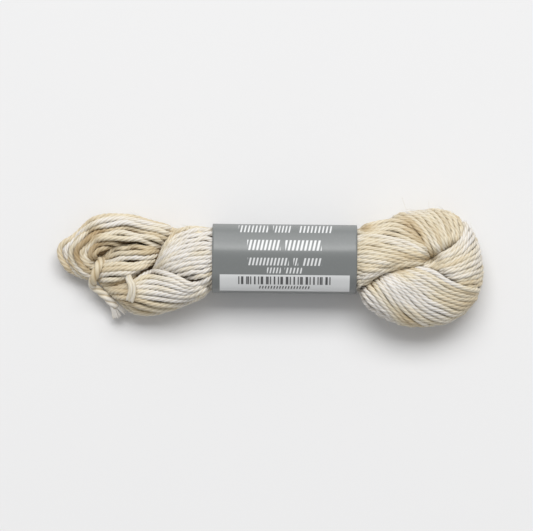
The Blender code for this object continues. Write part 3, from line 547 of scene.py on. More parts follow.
class HankForm:
    """The wound form as a top and an underside over the plan, with its outline."""

    pinch: Array = np.array([53.6, 2.6])
    bulb_start: float = 26.0
    tip_reach: tuple[float, float] = (45.0, 70.0)
    folded_rise: tuple[float, float] = (0.05, 0.55)
    top_power: float = 0.86
    under_power: float = 0.8
    least_half: float = 0.2
    least_reach: float = 1.0
    outline_steps: int = 900

    def __init__(self, band: BandForm) -> None:
        """Keep the band and work out the outline.

        Args:
            band: the band round the form.
        """
        self.band = band
        x = np.linspace(SECTIONS[0][0], SECTIONS[-1][0], self.outline_steps)
        upper, lower = self.columns(x)[:2]
        self.outline = np.vstack([np.column_stack([x, upper]), np.column_stack([x, lower])[::-1]])

    def columns(self, x: Array) -> Array:
        """Return the section table's five columns at x, each with x's shape."""
        return smooth_rows(SECTIONS, np.ravel(x)).T.reshape((5,) + np.shape(x))

    def width(self, x: Array) -> tuple[Array, Array]:
        """Return y of the middle line and the half width at x."""
        upper, lower = self.columns(x)[:2]
        return (upper + lower) / 2, (upper - lower) / 2

    def folds(self, x: Array, y: Array) -> Array:
        """Return how far the folds raise the top: a soft bell across each fold's line.

        Args:
            x: places along the skein.
            y: places across it.
        Returns:
            The lift, lift times exp(-(distance / half width)^2) summed over the folds.
        """
        total = np.zeros_like(x)
        for rows in TOP_FOLDS.values():
            table = np.asarray(rows, float)
            nearest = np.full(x.shape, np.inf)
            lift = np.zeros_like(x)
            for start, stop in zip(table[:-1], table[1:]):
                run = stop[:2] - start[:2]
                t = np.clip(((x - start[0]) * run[0] + (y - start[1]) * run[1]) / (run @ run), 0, 1)
                away = np.hypot(x - start[0] - t * run[0], y - start[1] - t * run[1])
                here = start[2:] + t[..., None] * (stop[2:] - start[2:])
                closer = away < nearest
                nearest = np.where(closer, away, nearest)
                lift = np.where(closer, here[..., 0] * np.exp(-(away / here[..., 1]) ** 2), lift)
            total += lift
        return total

    def settle(self, x: Array, y: Array, side: Side, inset: Array | float) -> Array:
        """Lay points of the plan onto the form, moved inwards from its surface.

        The section is an oval: edge + (crest - edge) |sin|^top power above and edge - (edge -
        under) |sin|^under power below, where cos is how far across the section y lies.  Both
        half lengths are shortened by the inset, and the tips are drawn in by it.  Within the
        band the section is the band's own, moved in by its wall and the inset.

        Args:
            x: places along the skein.
            y: places across it; those past the edge are brought back to it.
            side: top or underside.
            inset: how far inwards, negative for outwards.
        Returns:
            Points of shape x.shape + (3,).
        """
        inset = np.broadcast_to(np.asarray(inset, float), x.shape)
        beyond = smoothstep(*self.tip_reach, x) - smoothstep(*self.tip_reach, -x)
        upper, lower, edge, crest, under = self.columns(x + np.maximum(inset, 0) * beyond)
        middle = (upper + lower) / 2
        half = np.maximum((upper - lower) / 2 - inset, self.least_half)
        free_y = middle + np.clip((y - middle) / half, -1, 1) * half
        rise = np.sqrt(np.maximum(1 - ((free_y - middle) / half) ** 2, 0))
        if side is Side.TOP:
            top = np.maximum(crest - inset, edge)
            folds = smoothstep(*self.folded_rise, rise) * self.folds(x, free_y)
            z = edge + (top - edge) * rise**self.top_power + folds
        else:
            bottom = np.minimum(under + inset, edge)
            z = np.maximum(edge - (edge - bottom) * rise**self.under_power, np.maximum(inset, 0))
        held = self.band.holds(x)
        depth = self.band.wall + self.band.clearance + inset
        axis = self.band.axis_y(x)
        reach = np.maximum(self.band.reach(depth, np.where(y > axis, 0.0, math.pi)),
                           self.least_reach)
        angle = side.value * np.arccos(np.clip((y - axis) / reach, -1, 1))
        round_band = self.band.reach(depth, angle)
        y = free_y + held * (axis + round_band * np.cos(angle) - free_y)
        z = z + held * (self.band.height + round_band * np.sin(angle) - z)
        return np.stack([x, y, z], axis=-1)

    def edge_at(self, degrees: Array, inset: float) -> Array:
        """Return points just inside the bulb's outline at angles about the pinch.

        Args:
            degrees: angles from +x, in plan.
            inset: how far inside.
        Returns:
            Points (x, y).
        """
        right = self.outline[self.outline[:, 0] > self.bulb_start]
        from_pinch = right - self.pinch
        turn = np.degrees(np.arctan2(from_pinch[:, 1], from_pinch[:, 0]))
        order = np.argsort(turn)
        distance = np.interp(degrees, turn[order], np.hypot(*from_pinch[order].T), period=360)
        return self.pinch + (distance - inset)[:, None] * pointing(np.radians(degrees))


def make_mesh(name: str, points: Array, faces: Sequence[Array], uv: Array | None = None,
              attributes: dict[str, Array] | None = None) -> bpy.types.Object:
    """Make a smooth-shaded mesh object from arrays.

    Args:
        name: the piece's name.
        points: vertices in millimetres.
        faces: arrays of vertex numbers, one row for each face; each array has faces of one size.
        uv: one (u, v) for each corner, in the order of the faces.
        attributes: values for each vertex, by name.
    Returns:
        The object, linked into the scene.
    """
    loops = np.concatenate([group.ravel() for group in faces])
    sizes = np.concatenate([np.full(len(group), group.shape[1]) for group in faces])
    mesh = bpy.data.meshes.new(name)
    mesh.vertices.add(len(points))
    mesh.vertices.foreach_set("co", (points * MM).astype(np.float32).ravel())
    mesh.loops.add(len(loops))
    mesh.loops.foreach_set("vertex_index", loops.astype(np.int32))
    mesh.polygons.add(len(sizes))
    starts = np.concatenate([[0], np.cumsum(sizes)[:-1]])
    mesh.polygons.foreach_set("loop_start", starts.astype(np.int32))
    mesh.polygons.foreach_set("loop_total", sizes.astype(np.int32))
    mesh.update(calc_edges=True)
    if uv is not None:
        mesh.uv_layers.new(name="along").data.foreach_set("uv", uv.astype(np.float32).ravel())
    for key, values in (attributes or {}).items():
        attribute = mesh.attributes.new(key, "FLOAT", "POINT")
        attribute.data.foreach_set("value", values.astype(np.float32).ravel())
    mesh.shade_smooth()
    piece = bpy.data.objects.new(name, mesh)
    bpy.context.collection.objects.link(piece)
    return piece


def ring_points(columns: int) -> tuple[Array, Array]:
    """Return the number of each point of a closed ring, and of the next one round."""
    column = np.arange(columns)
    return column, (column + 1) % columns


def grid_cells(rows: int, columns: int) -> Array:
    """Return the four corners of each cell of a grid of points whose rows are closed rings.

    Args:
        rows: number of rows.
        columns: number of points in a row.
    Returns:
        Vertex numbers of shape (cells, 4).
    """
    row, column = np.meshgrid(np.arange(rows - 1), np.arange(columns), indexing="ij")
    beside = (column + 1) % columns
    corners = [row * columns + column, row * columns + beside,
               (row + 1) * columns + beside, (row + 1) * columns + column]
    return np.stack(corners, axis=-1).reshape(-1, 4)


def carry_frame(paths: Array) -> tuple[Array, Array]:
    """Carry two axes square to each path along it without twist.

    At each ring the last normal is made square to the path again.

    Args:
        paths: points of shape (threads, points, 3).
    Returns:
        The normal and the binormal at each point.
    """
    tangent = unit(np.gradient(paths, axis=1))
    normal = np.empty_like(tangent)
    nearly_up = np.array([0.08, 0.05, 1.0])
    current = np.broadcast_to(nearly_up, tangent[:, 0].shape)
    for ring in range(paths.shape[1]):
        across = (current * tangent[:, ring]).sum(-1, keepdims=True)
        current = unit(current - across * tangent[:, ring])
        normal[:, ring] = current
    return normal, np.cross(tangent, normal)


@dataclass(frozen=True)
class Yarn:
    """A plied thread: plies that turn round each other, in millimetres."""

    diameter: float = 1.8
    lay: float = 9.0
    plies: int = 4
    sides: int = 12
    step: float = 0.5
    groove: float = 0.24
    end_size: float = 0.3
    end_run: float = 0.5
    sizes: tuple[float, float] = (0.92, 1.06)
    length_of_u: float = 10.0
    least_rings: int = 6

    def profile(self) -> tuple[Array, Array]:
        """Return the angle and radius of each corner of the section.

        The radius falls from each ply's back to the groove between two plies as |cos(plies / 2
        times the angle)| falls to 0.  The corners start half a side round, so that with three of
        them to a ply one lies in each groove.

        Returns:
            The angles and the radii.
        """
        angle = FULL_TURN * (np.arange(self.sides) + 0.5) / self.sides
        return angle, self.diameter / 2 * (1 - self.groove * (1 - np.abs(np.cos(self.plies / 2 * angle))))

    def sweep(self, name: str, paths: Array, dye: Array, rng: np.random.Generator) -> bpy.types.Object:
        """Carry the section along every path, turning it by one full turn in each lay.

        A ring is the path's point + radius (cos turn * normal + sin turn * binormal), and the
        radius shrinks towards both ends, which are closed by caps.

        Args:
            name: the piece's name.
            paths: points of shape (threads, points, 3).
            dye: dye of shape (threads, points).
            rng: seeded source of chance for each thread's phase, size and shade.
        Returns:
            The piece, with a UV map of length and way round, and its dye and thread attributes.
        """
        known = lengths_along(paths)
        count, sides = len(paths), self.sides
        rings = max(self.least_rings, int(math.ceil(known[:, -1].max() / self.step)) + 1)
        wanted = known[:, -1:] * np.linspace(0, 1, rings)
        dye = np.stack([np.interp(w, k, d) for w, k, d in zip(wanted, known, dye)])
        paths = np.stack([read_at(path, k, w) for path, k, w in zip(paths, known, wanted)])
        along = lengths_along(paths)
        normal, binormal = carry_frame(paths)
        angle, radius = self.profile()
        phase = rng.uniform(0, FULL_TURN, (count, 1, 1))
        turn = angle - FULL_TURN * along[..., None] / self.lay + phase
        to_end = np.minimum(along, along[:, -1:] - along)
        taper = np.minimum(1.0, self.end_size + to_end / self.end_run)
        size = radius * taper[..., None] * rng.uniform(*self.sizes, (count, 1, 1))
        points = (paths[:, :, None] + (size * np.cos(turn))[..., None] * normal[:, :, None]
                  + (size * np.sin(turn))[..., None] * binormal[:, :, None])
        first = np.arange(count)[:, None, None] * rings * sides
        cells = (first + grid_cells(rings, sides)[None]).reshape(-1, 4)
        caps = np.concatenate([first[:, 0] + np.arange(sides)[None, ::-1],
                               first[:, 0] + (rings - 1) * sides + np.arange(sides)[None, :]])
        u = np.broadcast_to(along[..., None], points.shape[:3]).ravel() / self.length_of_u
        v = np.broadcast_to((np.arange(sides) + 0.5) / sides, points.shape[:3]).ravel()
        over_seam = (cells % sides == 0) & (cells[:, :1] % sides == sides - 1)
        uv = np.concatenate([np.stack([u[cells], v[cells] + over_seam], axis=-1).reshape(-1, 2),
                             np.column_stack([u[caps.ravel()], v[caps.ravel()]])])
        shade = np.broadcast_to(rng.uniform(0, 1, (count, 1, 1)), points.shape[:3]).ravel()
        dyed = np.broadcast_to(dye[..., None], points.shape[:3]).ravel()
        return make_mesh(name, points.reshape(-1, 3), (cells, caps), uv, {"dye": dyed, "thread": shade})


LOOSE_YARN = Yarn(diameter=1.95, lay=8.0)


@dataclass(frozen=True)
class Lie:
    """How loosely threads lie: their sway across and heave up and down, in millimetres."""

    sway: float = 0.15
    heave: float = 0.16
    waves: float = 2.5


class ThreadPaths:
    """Work common to every set of threads laid on the wound form."""

    least_apart: float = 0.05
    dye_drift: float = 0.13
    dye_waves: float = 1.4
    softening: int = 5

    def __init__(self, form: HankForm, rng: np.random.Generator, yarn: Yarn) -> None:
        """Keep what the threads are laid on and made of.

        Args:
            form: the wound form.
            rng: seeded source of chance.
            yarn: the thread.
        """
        self.form, self.rng, self.yarn = form, rng, yarn
        self.laid: list[Array] = []

    def between(self, rows: Array, spacing: float,
                stretch: tuple[float, float]) -> tuple[Array, Array, Array]:
        """Read threads between guide rows at an even spacing.

        Args:
            rows: guides of shape (guides, points, columns).
            spacing: distance between two threads at the widest place, or 0 for one on each guide.
            stretch: the part of the guides that counts for the width, in shares of their run.
        Returns:
            The threads' rows, the place of each guide and the place of each thread.
        """
        across = slice(*(int(share * (rows.shape[1] - 1)) for share in stretch))
        apart = np.diff(rows[:, across], axis=0)
        run = unit(np.gradient(rows[:, across, :2], axis=1)[:-1])
        aside = apart[..., 0] * run[..., 1] - apart[..., 1] * run[..., 0]
        widest = np.maximum(np.hypot(aside, apart[..., 2]).max(axis=1), self.least_apart)
        place = np.concatenate([[0], np.cumsum(widest)])
        at = place
        if spacing:
            at = np.linspace(0, place[-1], max(2, int(round(place[-1] / spacing)) + 1))
        table = np.column_stack([place, rows.reshape(len(rows), -1)])
        return smooth_rows(table, at).reshape((len(at),) + rows.shape[1:]), place, at

    def sway(self, plan: Array, lie: Lie) -> Array:
        """Move plan lines a little to either side, and heave their lift.

        Args:
            plan: lines of shape (threads, points, 3): x, y and lift.
            lie: how loosely they lie.
        Returns:
            The moved lines.
        """
        threads, points = plan.shape[:2]
        run = np.gradient(plan[..., :2], axis=1)
        aside = unit(np.stack([-run[..., 1], run[..., 0]], axis=-1))
        moved = lie.sway * wander(self.rng, threads, points, lie.waves)
        heaved = lie.heave * wander(self.rng, threads, points, lie.waves)
        return np.concatenate([plan[..., :2] + moved[..., None] * aside,
                               plan[..., 2:] + heaved[..., None]], axis=-1)

    def dyed(self, paths: Array, tones: Sequence[float]) -> Array:
        """Spread a list of tones over threads and let each drift along its length.

        Args:
            paths: the threads' paths.
            tones: dye from 0, undyed white, to 1, deep tan, in order across the threads.
        Returns:
            The dye at each point of each path.
        """
        count, points = paths.shape[:2]
        base = np.interp(np.linspace(0, 1, count), np.linspace(0, 1, len(tones)), tones)[:, None]
        base = base + self.dye_drift * wander(self.rng, count, points, self.dye_waves)
        for x, y, radius, more in DYED_PLACES:
            away = np.hypot(paths[..., 0] - x, paths[..., 1] - y)
            base = base + more * np.exp(-(away / radius) ** 2)
        return np.clip(base, 0, 1)

    def piece(self, name: str, paths: Array, tones: Sequence[float],
              yarn: Yarn | None = None) -> bpy.types.Object:
        """Smooth the paths, dye them and sweep the thread along them.

        Args:
            name: the piece's name.
            paths: points of shape (threads, points, 3).
            tones: dye across the threads.
            yarn: the thread, where it isn't the usual one.
        Returns:
            The piece.
        """
        paths = relax(paths, self.softening)
        self.laid.append(paths)
        return (yarn or self.yarn).sweep(name, paths, self.dyed(paths, tones), self.rng)


@dataclass(frozen=True)
class Course:
    """Side-by-side threads laid through guide lines in plan, on the form's top.

    A guide is a row of (x, y) or (x, y, lift) points, with the lift in millimetres.  A spacing of
    0 lays one thread on each guide.
    """

    name: str
    guides: tuple
    tones: tuple[float, ...]
    spacing: float = 1.5
    widest: tuple[float, float] = (0.15, 0.8)
    dip: float = 0.0
    dip_at: tuple[float, ...] = (1.0,)
    dip_width: float = 0.2
    lie: Lie = Lie()
    samples: int = 160
    yarn: Yarn = Yarn()

    def lay(self, paths: ThreadPaths) -> bpy.types.Object:
        """Lay the threads and return their piece.

        Every other thread dips by a bell along its length, at each place where threads crowd.

        Args:
            paths: the work common to every set of threads.
        Returns:
            The piece.
        """
        rows = np.stack([smooth_path(with_lift(guide), self.samples) for guide in self.guides])
        plan, _, at = paths.between(rows, self.spacing, self.widest)
        s = np.linspace(0, 1, self.samples)
        bell = sum(np.exp(-((s - crowd) / self.dip_width) ** 2) for crowd in self.dip_at)
        plan[..., 2] -= self.dip * every_other(len(at)) * bell
        plan = paths.sway(plan, self.lie)
        inset = self.yarn.diameter / 2 - plan[..., 2]
        laid = paths.form.settle(plan[..., 0], plan[..., 1], Side.TOP, inset)
        return paths.piece(self.name, laid, self.tones, self.yarn)


@dataclass(frozen=True)
class Fan:
    """Threads that rise at the pinch, cross the bulb's top and turn under its rim.

    A guide is the angle about the pinch at which it meets the rim, and the points (x, y, lift)
    that lead there from its inner end.  The wall is the side's height and how far in it leans,
    and the slope is how much of a thread's run goes down it.
    """

    name: str
    guides: tuple
    tones: tuple[float, ...]
    spacing: float = 1.5
    dip: float = 0.35
    lie: Lie = Lie()
    samples: int = 110
    last_points: int = 30
    widest: tuple[float, float] = (0.335, 0.975)
    edge_step: float = 1.0
    swing_degrees: float = 82.0
    inner_reach: tuple[float, ...] = (5.0, 11.0, 7.5, 13.0)
    inner_shift: tuple[float, float] = (3.0, 1.0)
    least_dive: float = 0.5
    crowding: float = 1.6
    slope: float = 0.75
    wall: tuple[float, float] = (10.8, 9.5)
    wall_power: float = 2.5
    most_slanting: float = 1.2
    slant_ends: tuple[float, float] = (6.0, 16.0)
    sink: float = 2.4
    sink_over: tuple[float, float] = (0.75, 1.0)
    uneven: float = 0.1

    def over(self, paths: ThreadPaths) -> tuple[Array, Array]:
        """Read the threads between the guides on top, with their outer ends drawn onto the rim.

        Args:
            paths: the work common to every set of threads.
        Returns:
            The plan lines, with their points closest at the rim, and each one's angle there.
        """
        form, radius = paths.form, paths.yarn.diameter / 2
        degrees = np.array([guide[0] for guide in self.guides])
        rims = form.edge_at(degrees, radius)
        rows = np.stack([smooth_path(with_lift(guide[1]) + [(*rim, 0.0)], self.samples)
                         for guide, rim in zip(self.guides, rims)])
        plan, place, at = paths.between(rows, self.spacing, self.widest)
        turn = np.interp(at, place, degrees)
        s = np.linspace(0, 1, self.samples)
        plan[..., :2] += (form.edge_at(turn, radius) - plan[:, -1, :2])[:, None] * (s**2)[None, :, None]
        plan[..., 2] -= self.dip * every_other(len(at)) * (1 - s) ** 2
        plan = paths.sway(plan, self.lie)
        near_rim = 1 - (1 - s) ** 2
        return np.stack([read_at(line, s, near_rim) for line in plan]), turn

    def under(self, paths: ThreadPaths, heading: Array, turn: Array) -> Array:
        """Return the threads' way below the rim.

        A thread leaves the rim in the mirrored direction, along a quadratic curve that swings
        round the pinch and ends sunk near it.  The less squarely it meets the rim, the more it is
        drawn onto a line that slants down the side wall, whose inward lean grows as a power of
        the run, until it is under the bulb.

        Args:
            paths: the work common to every set of threads.
            heading: each thread's direction at the rim, in plan.
            turn: each thread's angle there.
        Returns:
            Points of shape (threads, points, 3).
        """
        form, radius = paths.form, paths.yarn.diameter / 2
        rim = form.edge_at(turn, radius)
        edge = unit(form.edge_at(turn + self.edge_step, radius)
                    - form.edge_at(turn - self.edge_step, radius))
        outward = np.column_stack([edge[:, 1], -edge[:, 0]])
        along = (heading * edge).sum(1, keepdims=True)
        out = np.maximum((heading * outward).sum(1, keepdims=True), 0.0)
        mirrored = along * edge - np.maximum(out, self.least_dive) * outward
        reach = np.asarray(self.inner_reach)[np.arange(len(turn)) % len(self.inner_reach)]
        end = (form.pinch - self.inner_shift
               + reach[:, None] * pointing(np.radians(turn + self.swing_degrees)))
        bend = rim + mirrored * 0.5 * np.linalg.norm(end - rim, axis=1, keepdims=True)
        q = (np.linspace(0, 1, self.samples)[1:] ** self.crowding)[None, :, None]
        run = (1 - q) ** 2 * rim[:, None] + 2 * q * (1 - q) * bend[:, None] + q**2 * end[:, None]
        gone = lengths_along(run)
        height, lean = self.wall
        inward = lean * np.minimum(gone * self.slope / height, 1.0) ** self.wall_power
        from_pinch = np.linalg.norm(rim - form.pinch, axis=1)[:, None]
        beside = turn[:, None] + np.sign(along) * np.degrees(gone / from_pinch)
        slanting = form.edge_at(beside.ravel(), radius + inward.ravel()).reshape(run.shape)
        share = np.clip(self.most_slanting - out, 0, 1) * (1 - smoothstep(*self.slant_ends, gone))
        run += share[..., None] * (slanting - run)
        sunk = (radius + self.sink * smoothstep(*self.sink_over, q[..., 0])
                + self.uneven * paths.rng.uniform(-1, 1, (len(turn), 1)))
        return form.settle(run[..., 0], run[..., 1], Side.UNDER, sunk)

    def lay(self, paths: ThreadPaths) -> bpy.types.Object:
        """Lay the threads over the top and back below, and return their piece.

        Args:
            paths: the work common to every set of threads.
        Returns:
            The piece.
        """
        plan, turn = self.over(paths)
        inset = paths.yarn.diameter / 2 - plan[..., 2]
        above = paths.form.settle(plan[..., 0], plan[..., 1], Side.TOP, inset)
        heading = unit(plan[:, -1, :2] - plan[:, -self.last_points, :2])
        below = self.under(paths, heading, turn)
        return paths.piece(self.name, np.concatenate([above, below], axis=1), self.tones)


@dataclass(frozen=True)
class Turns:
    """Threads that follow the outline from the band round one tip and back.

    A row is the share of the half width, and how far short of the tip it turns.  They head for
    the left tip (-1) or the right one (1), and lie at a depth below the surface.
    """

    name: str
    top: tuple
    under: tuple
    tones: tuple[float, ...]
    start: float = -14.0
    heading: int = -1
    depth: float = 0.0
    least_half: float = 0.1
    lie: Lie = Lie(0.15, 0.12, 4.0)
    samples: int = 150

    def lay(self, paths: ThreadPaths) -> bpy.types.Object:
        """Lay the threads and return their piece.

        Each line keeps its share of the half width, read from a table that is moved right by how
        far short of the tip it turns.  Its points lie closest at the tip.

        Args:
            paths: the work common to every set of threads.
        Returns:
            The piece.
        """
        form, inset = paths.form, paths.yarn.diameter / 2 + self.depth
        tip = SECTIONS[0 if self.heading < 0 else -1][0] - self.heading * inset
        q = np.linspace(0, 1, self.samples)
        laid = []
        for side, share, short in by_side(self.top, self.under):
            x = self.start + (tip - self.heading * short - self.start) * (1 - (1 - q) ** 2)
            beyond = short + inset * smoothstep(*form.tip_reach, self.heading * x)
            middle, half = form.width(x + self.heading * beyond)
            half = np.maximum(half - inset, self.least_half) * share
            line = np.concatenate([np.column_stack([x, middle + half]),
                                   np.column_stack([x, middle - half])[-2::-1]])
            plan = paths.sway(np.column_stack([line, np.zeros(len(line))])[None], self.lie)[0]
            laid.append(form.settle(plan[:, 0], plan[:, 1], side, inset - plan[:, 2]))
        return paths.piece(self.name, np.stack(laid), self.tones)


@dataclass(frozen=True)
class Runs:
    """Threads that run along the skein at a constant share of its half width.

    A row is the share, and x of the far end.
    """

    name: str
    top: tuple
    under: tuple
    tones: tuple[float, ...]
    start: float = 14.0
    sink: float = 2.4
    sink_from: float = 0.8
    lie: Lie = Lie()
    samples: int = 60

    def lay(self, paths: ThreadPaths) -> bpy.types.Object:
        """Lay the threads, with their far ends sunk, and return their piece.

        Args:
            paths: the work common to every set of threads.
        Returns:
            The piece.
        """
        form, radius = paths.form, paths.yarn.diameter / 2
        q = np.linspace(0, 1, self.samples)
        sunk = -self.sink * smoothstep(self.sink_from, 1, q)
        laid = []
        for side, share, stop in by_side(self.top, self.under):
            x = self.start + (stop - self.start) * q
            middle, half = form.width(x)
            plan = np.column_stack([x, middle + share * (half - radius), sunk])
            plan = paths.sway(plan[None], self.lie)[0]
            laid.append(form.settle(plan[:, 0], plan[:, 1], side, radius - plan[:, 2]))
        return paths.piece(self.name, np.stack(laid), self.tones)


@dataclass(frozen=True)
class Strays:
    """Single fibres that stand off the threads."""

    name: str = "stray_fibres"
    count: int = 320
    length: tuple[float, float] = (1.5, 4.5)
    lift: tuple[float, float] = (0.05, 0.35)
    swerve: float = 0.6
    root_depth: float = 0.45
    off_floor: float = 0.05
    least_held: float = 0.01
    dye: float = 0.15
    samples: int = 14
    fibre: Yarn = Yarn(diameter=0.07, lay=60.0, plies=1, sides=3, groove=0.0)

    def lay(self, paths: ThreadPaths) -> bpy.types.Object:
        """Return fibres that leave the threads laid so far: start + t along + t^2 (out + aside).

        Args:
            paths: the work common to every set of threads, with what it has laid.
        Returns:
            The piece.
        """
        rng = paths.rng
        points = np.concatenate([laid.reshape(-1, 3) for laid in paths.laid])
        heading = np.concatenate([np.gradient(laid, axis=1).reshape(-1, 3) for laid in paths.laid])
        clear_of_band = np.flatnonzero(paths.form.band.holds(points[:, 0]) < self.least_held)
        pick = rng.choice(clear_of_band, self.count)
        start, along = points[pick], unit(heading[pick])
        upper, lower, edge = paths.form.columns(start[:, 0])[:3]
        out = unit(start - np.column_stack([start[:, 0], (upper + lower) / 2, edge]))
        aside = np.cross(along, out) * rng.uniform(-1, 1, (self.count, 1))
        size = rng.uniform(*self.length, (self.count, 1, 1))
        t = np.linspace(0, 1, self.samples)[None, :, None]
        bend = (rng.uniform(*self.lift, (self.count, 1)) * out + self.swerve * aside)[:, None]
        roots = start + out * paths.yarn.diameter * self.root_depth
        lines = roots[:, None] + size * (t * along[:, None] + t**2 * bend)
        lines[..., 2] = np.maximum(lines[..., 2], self.off_floor)
        return self.fibre.sweep(self.name, lines, np.full(lines.shape[:2], self.dye), rng)


class Value:
    """A number in a material's node tree, with the arithmetic that the finishes use."""

    def __init__(self, shader: Shader, socket: Any) -> None:
        """Wrap a socket of a shader's tree."""
        self.shader, self.socket = shader, socket

    def maths(self, operation: str, *values: Any) -> Value:
        """Add a Math node on this and other values."""
        return self.shader.node("ShaderNodeMath", {"operation": operation},
                                dict(enumerate((self,) + values))).out()

    def __add__(self, other: Any) -> Value:
        """Add."""
        return self.maths("ADD", other)

    def __sub__(self, other: Any) -> Value:
        """Take away."""
        return self.maths("SUBTRACT", other)

    def __rsub__(self, other: Any) -> Value:
        """Take this from a number."""
        return (self * -1) + other

    def __mul__(self, other: Any) -> Value:
        """Multiply."""
        return self.maths("MULTIPLY", other)

    def __truediv__(self, other: float) -> Value:
        """Divide by a number."""
        return self.maths("MULTIPLY", 1 / other)

    __radd__, __rmul__ = __add__, __mul__

    def cosine(self) -> Value:
        """Return the cosine."""
        return self.maths("COSINE")

    def sine(self) -> Value:
        """Return the sine."""
        return self.maths("SINE")

    def size(self) -> Value:
        """Return the value without its sign."""
        return self.maths("ABSOLUTE")

    def part(self) -> Value:
        """Return the part after the point."""
        return self.maths("FRACT")

    def ramp(self, low: float, high: float) -> Value:
        """Rise smoothly from 0 at low to 1 at high."""
        node = self.shader.node("ShaderNodeMapRange", {"interpolation_type": "SMOOTHSTEP"},
                                {"Value": self, "From Min": low, "From Max": high})
        return node.out("Result")

    def within(self, low: float, high: float, soft: float) -> Value:
        """Return 1 between two values and 0 outside them, with soft edges."""
        return self.ramp(low - soft, low + soft) * (1 - self.ramp(high - soft, high + soft))


class Node:
    """A node that was added, with its outputs as values."""

    def __init__(self, shader: Shader, node: Any) -> None:
        """Wrap a node of a shader's tree."""
        self.shader, self.node = shader, node

    def out(self, name: str | int = 0) -> Value:
        """Return one output."""
        return Value(self.shader, self.node.outputs[name])


class Shader:
    """One material and the building of its nodes.

    A Mix node has its inputs and outputs once for each kind of value, under the same names, so
    those for colours are taken by number.
    """

    MIX_SHARE, MIX_FIRST, MIX_SECOND, MIX_RESULT = 0, 6, 7, 2

    def __init__(self, name: str) -> None:
        """Make an empty material.

        Args:
            name: the material's name.
        """
        self.material = bpy.data.materials.new(name)
        self.material.use_nodes = True
        self.tree = self.material.node_tree
        self.tree.nodes.clear()

    def node(self, kind: str, settings: dict[str, Any] | None = None,
             sockets: dict[Any, Any] | None = None) -> Node:
        """Add a node, set it up, and fill or link its sockets.

        Args:
            kind: the node's type.
            settings: its properties; "stops" are a ramp's (place, colour) pairs.
            sockets: values or links for its inputs, by name or number.
        Returns:
            The node.
        """
        node = self.tree.nodes.new(kind)
        for key, setting in (settings or {}).items():
            if key == "stops":
                self.fill_ramp(node.color_ramp, setting)
            else:
                setattr(node, key, setting)
        for key, value in (sockets or {}).items():
            if isinstance(value, Value):
                self.tree.links.new(value.socket, node.inputs[key])
            else:
                node.inputs[key].default_value = value
        return Node(self, node)

    @staticmethod
    def fill_ramp(ramp: Any, stops: Sequence[tuple[float, Colour]]) -> None:
        """Put stops into a colour ramp.

        Args:
            ramp: the ramp.
            stops: its (place, colour) pairs, of which it has two or more.
        """
        while len(ramp.elements) < len(stops):
            ramp.elements.new(0.5)
        for element, (place, colour) in zip(ramp.elements, stops):
            element.position = place
            element.color = (*colour, 1.0)

    def attribute(self, name: str) -> Value:
        """Read a number stored on the mesh."""
        return self.node("ShaderNodeAttribute", {"attribute_name": name}).out("Fac")

    def parts(self, vector: Value) -> tuple[Value, Value, Value]:
        """Take a vector apart."""
        node = self.node("ShaderNodeSeparateXYZ", None, {0: vector})
        return node.out("X"), node.out("Y"), node.out("Z")

    def vector(self, x: Any, y: Any, z: Any) -> Value:
        """Put a vector together."""
        return self.node("ShaderNodeCombineXYZ", None, {0: x, 1: y, 2: z}).out()

    def noise(self, vector: Value, scale: float, detail: float = 3.0, roughness: float = 0.55) -> Value:
        """Return noise from 0 to 1 at a vector."""
        return self.node("ShaderNodeTexNoise", {"normalize": True},
                         {"Vector": vector, "Scale": scale, "Detail": detail, "Roughness": roughness}).out()

    def mix(self, share: Any, first: Any, second: Any, blend: str = "MIX") -> Value:
        """Mix two colours, each a value or red, green and blue."""
        pair = [colour if isinstance(colour, Value) else (*colour, 1.0) for colour in (first, second)]
        return self.node("ShaderNodeMix", {"data_type": "RGBA", "blend_type": blend},
                         {self.MIX_SHARE: share, self.MIX_FIRST: pair[0],
                          self.MIX_SECOND: pair[1]}).out(self.MIX_RESULT)

    def place(self) -> Value:
        """Return the place in the object, in metres."""
        return self.node("ShaderNodeTexCoord").out("Object")

    def bump(self, height: Value, distance: float, strength: float = 1.0) -> Value:
        """Return a normal bumped by a height."""
        return self.node("ShaderNodeBump", None,
                         {"Height": height, "Distance": distance, "Strength": strength}).out()

    def surface(self, sockets: dict[str, Any]) -> bpy.types.Material:
        """Finish with a Principled surface.

        Args:
            sockets: its inputs.
        Returns:
            The material.
        """
        principled = self.node("ShaderNodeBsdfPrincipled", None, sockets)
        self.node("ShaderNodeOutputMaterial", None, {"Surface": principled.out()})
        return self.material


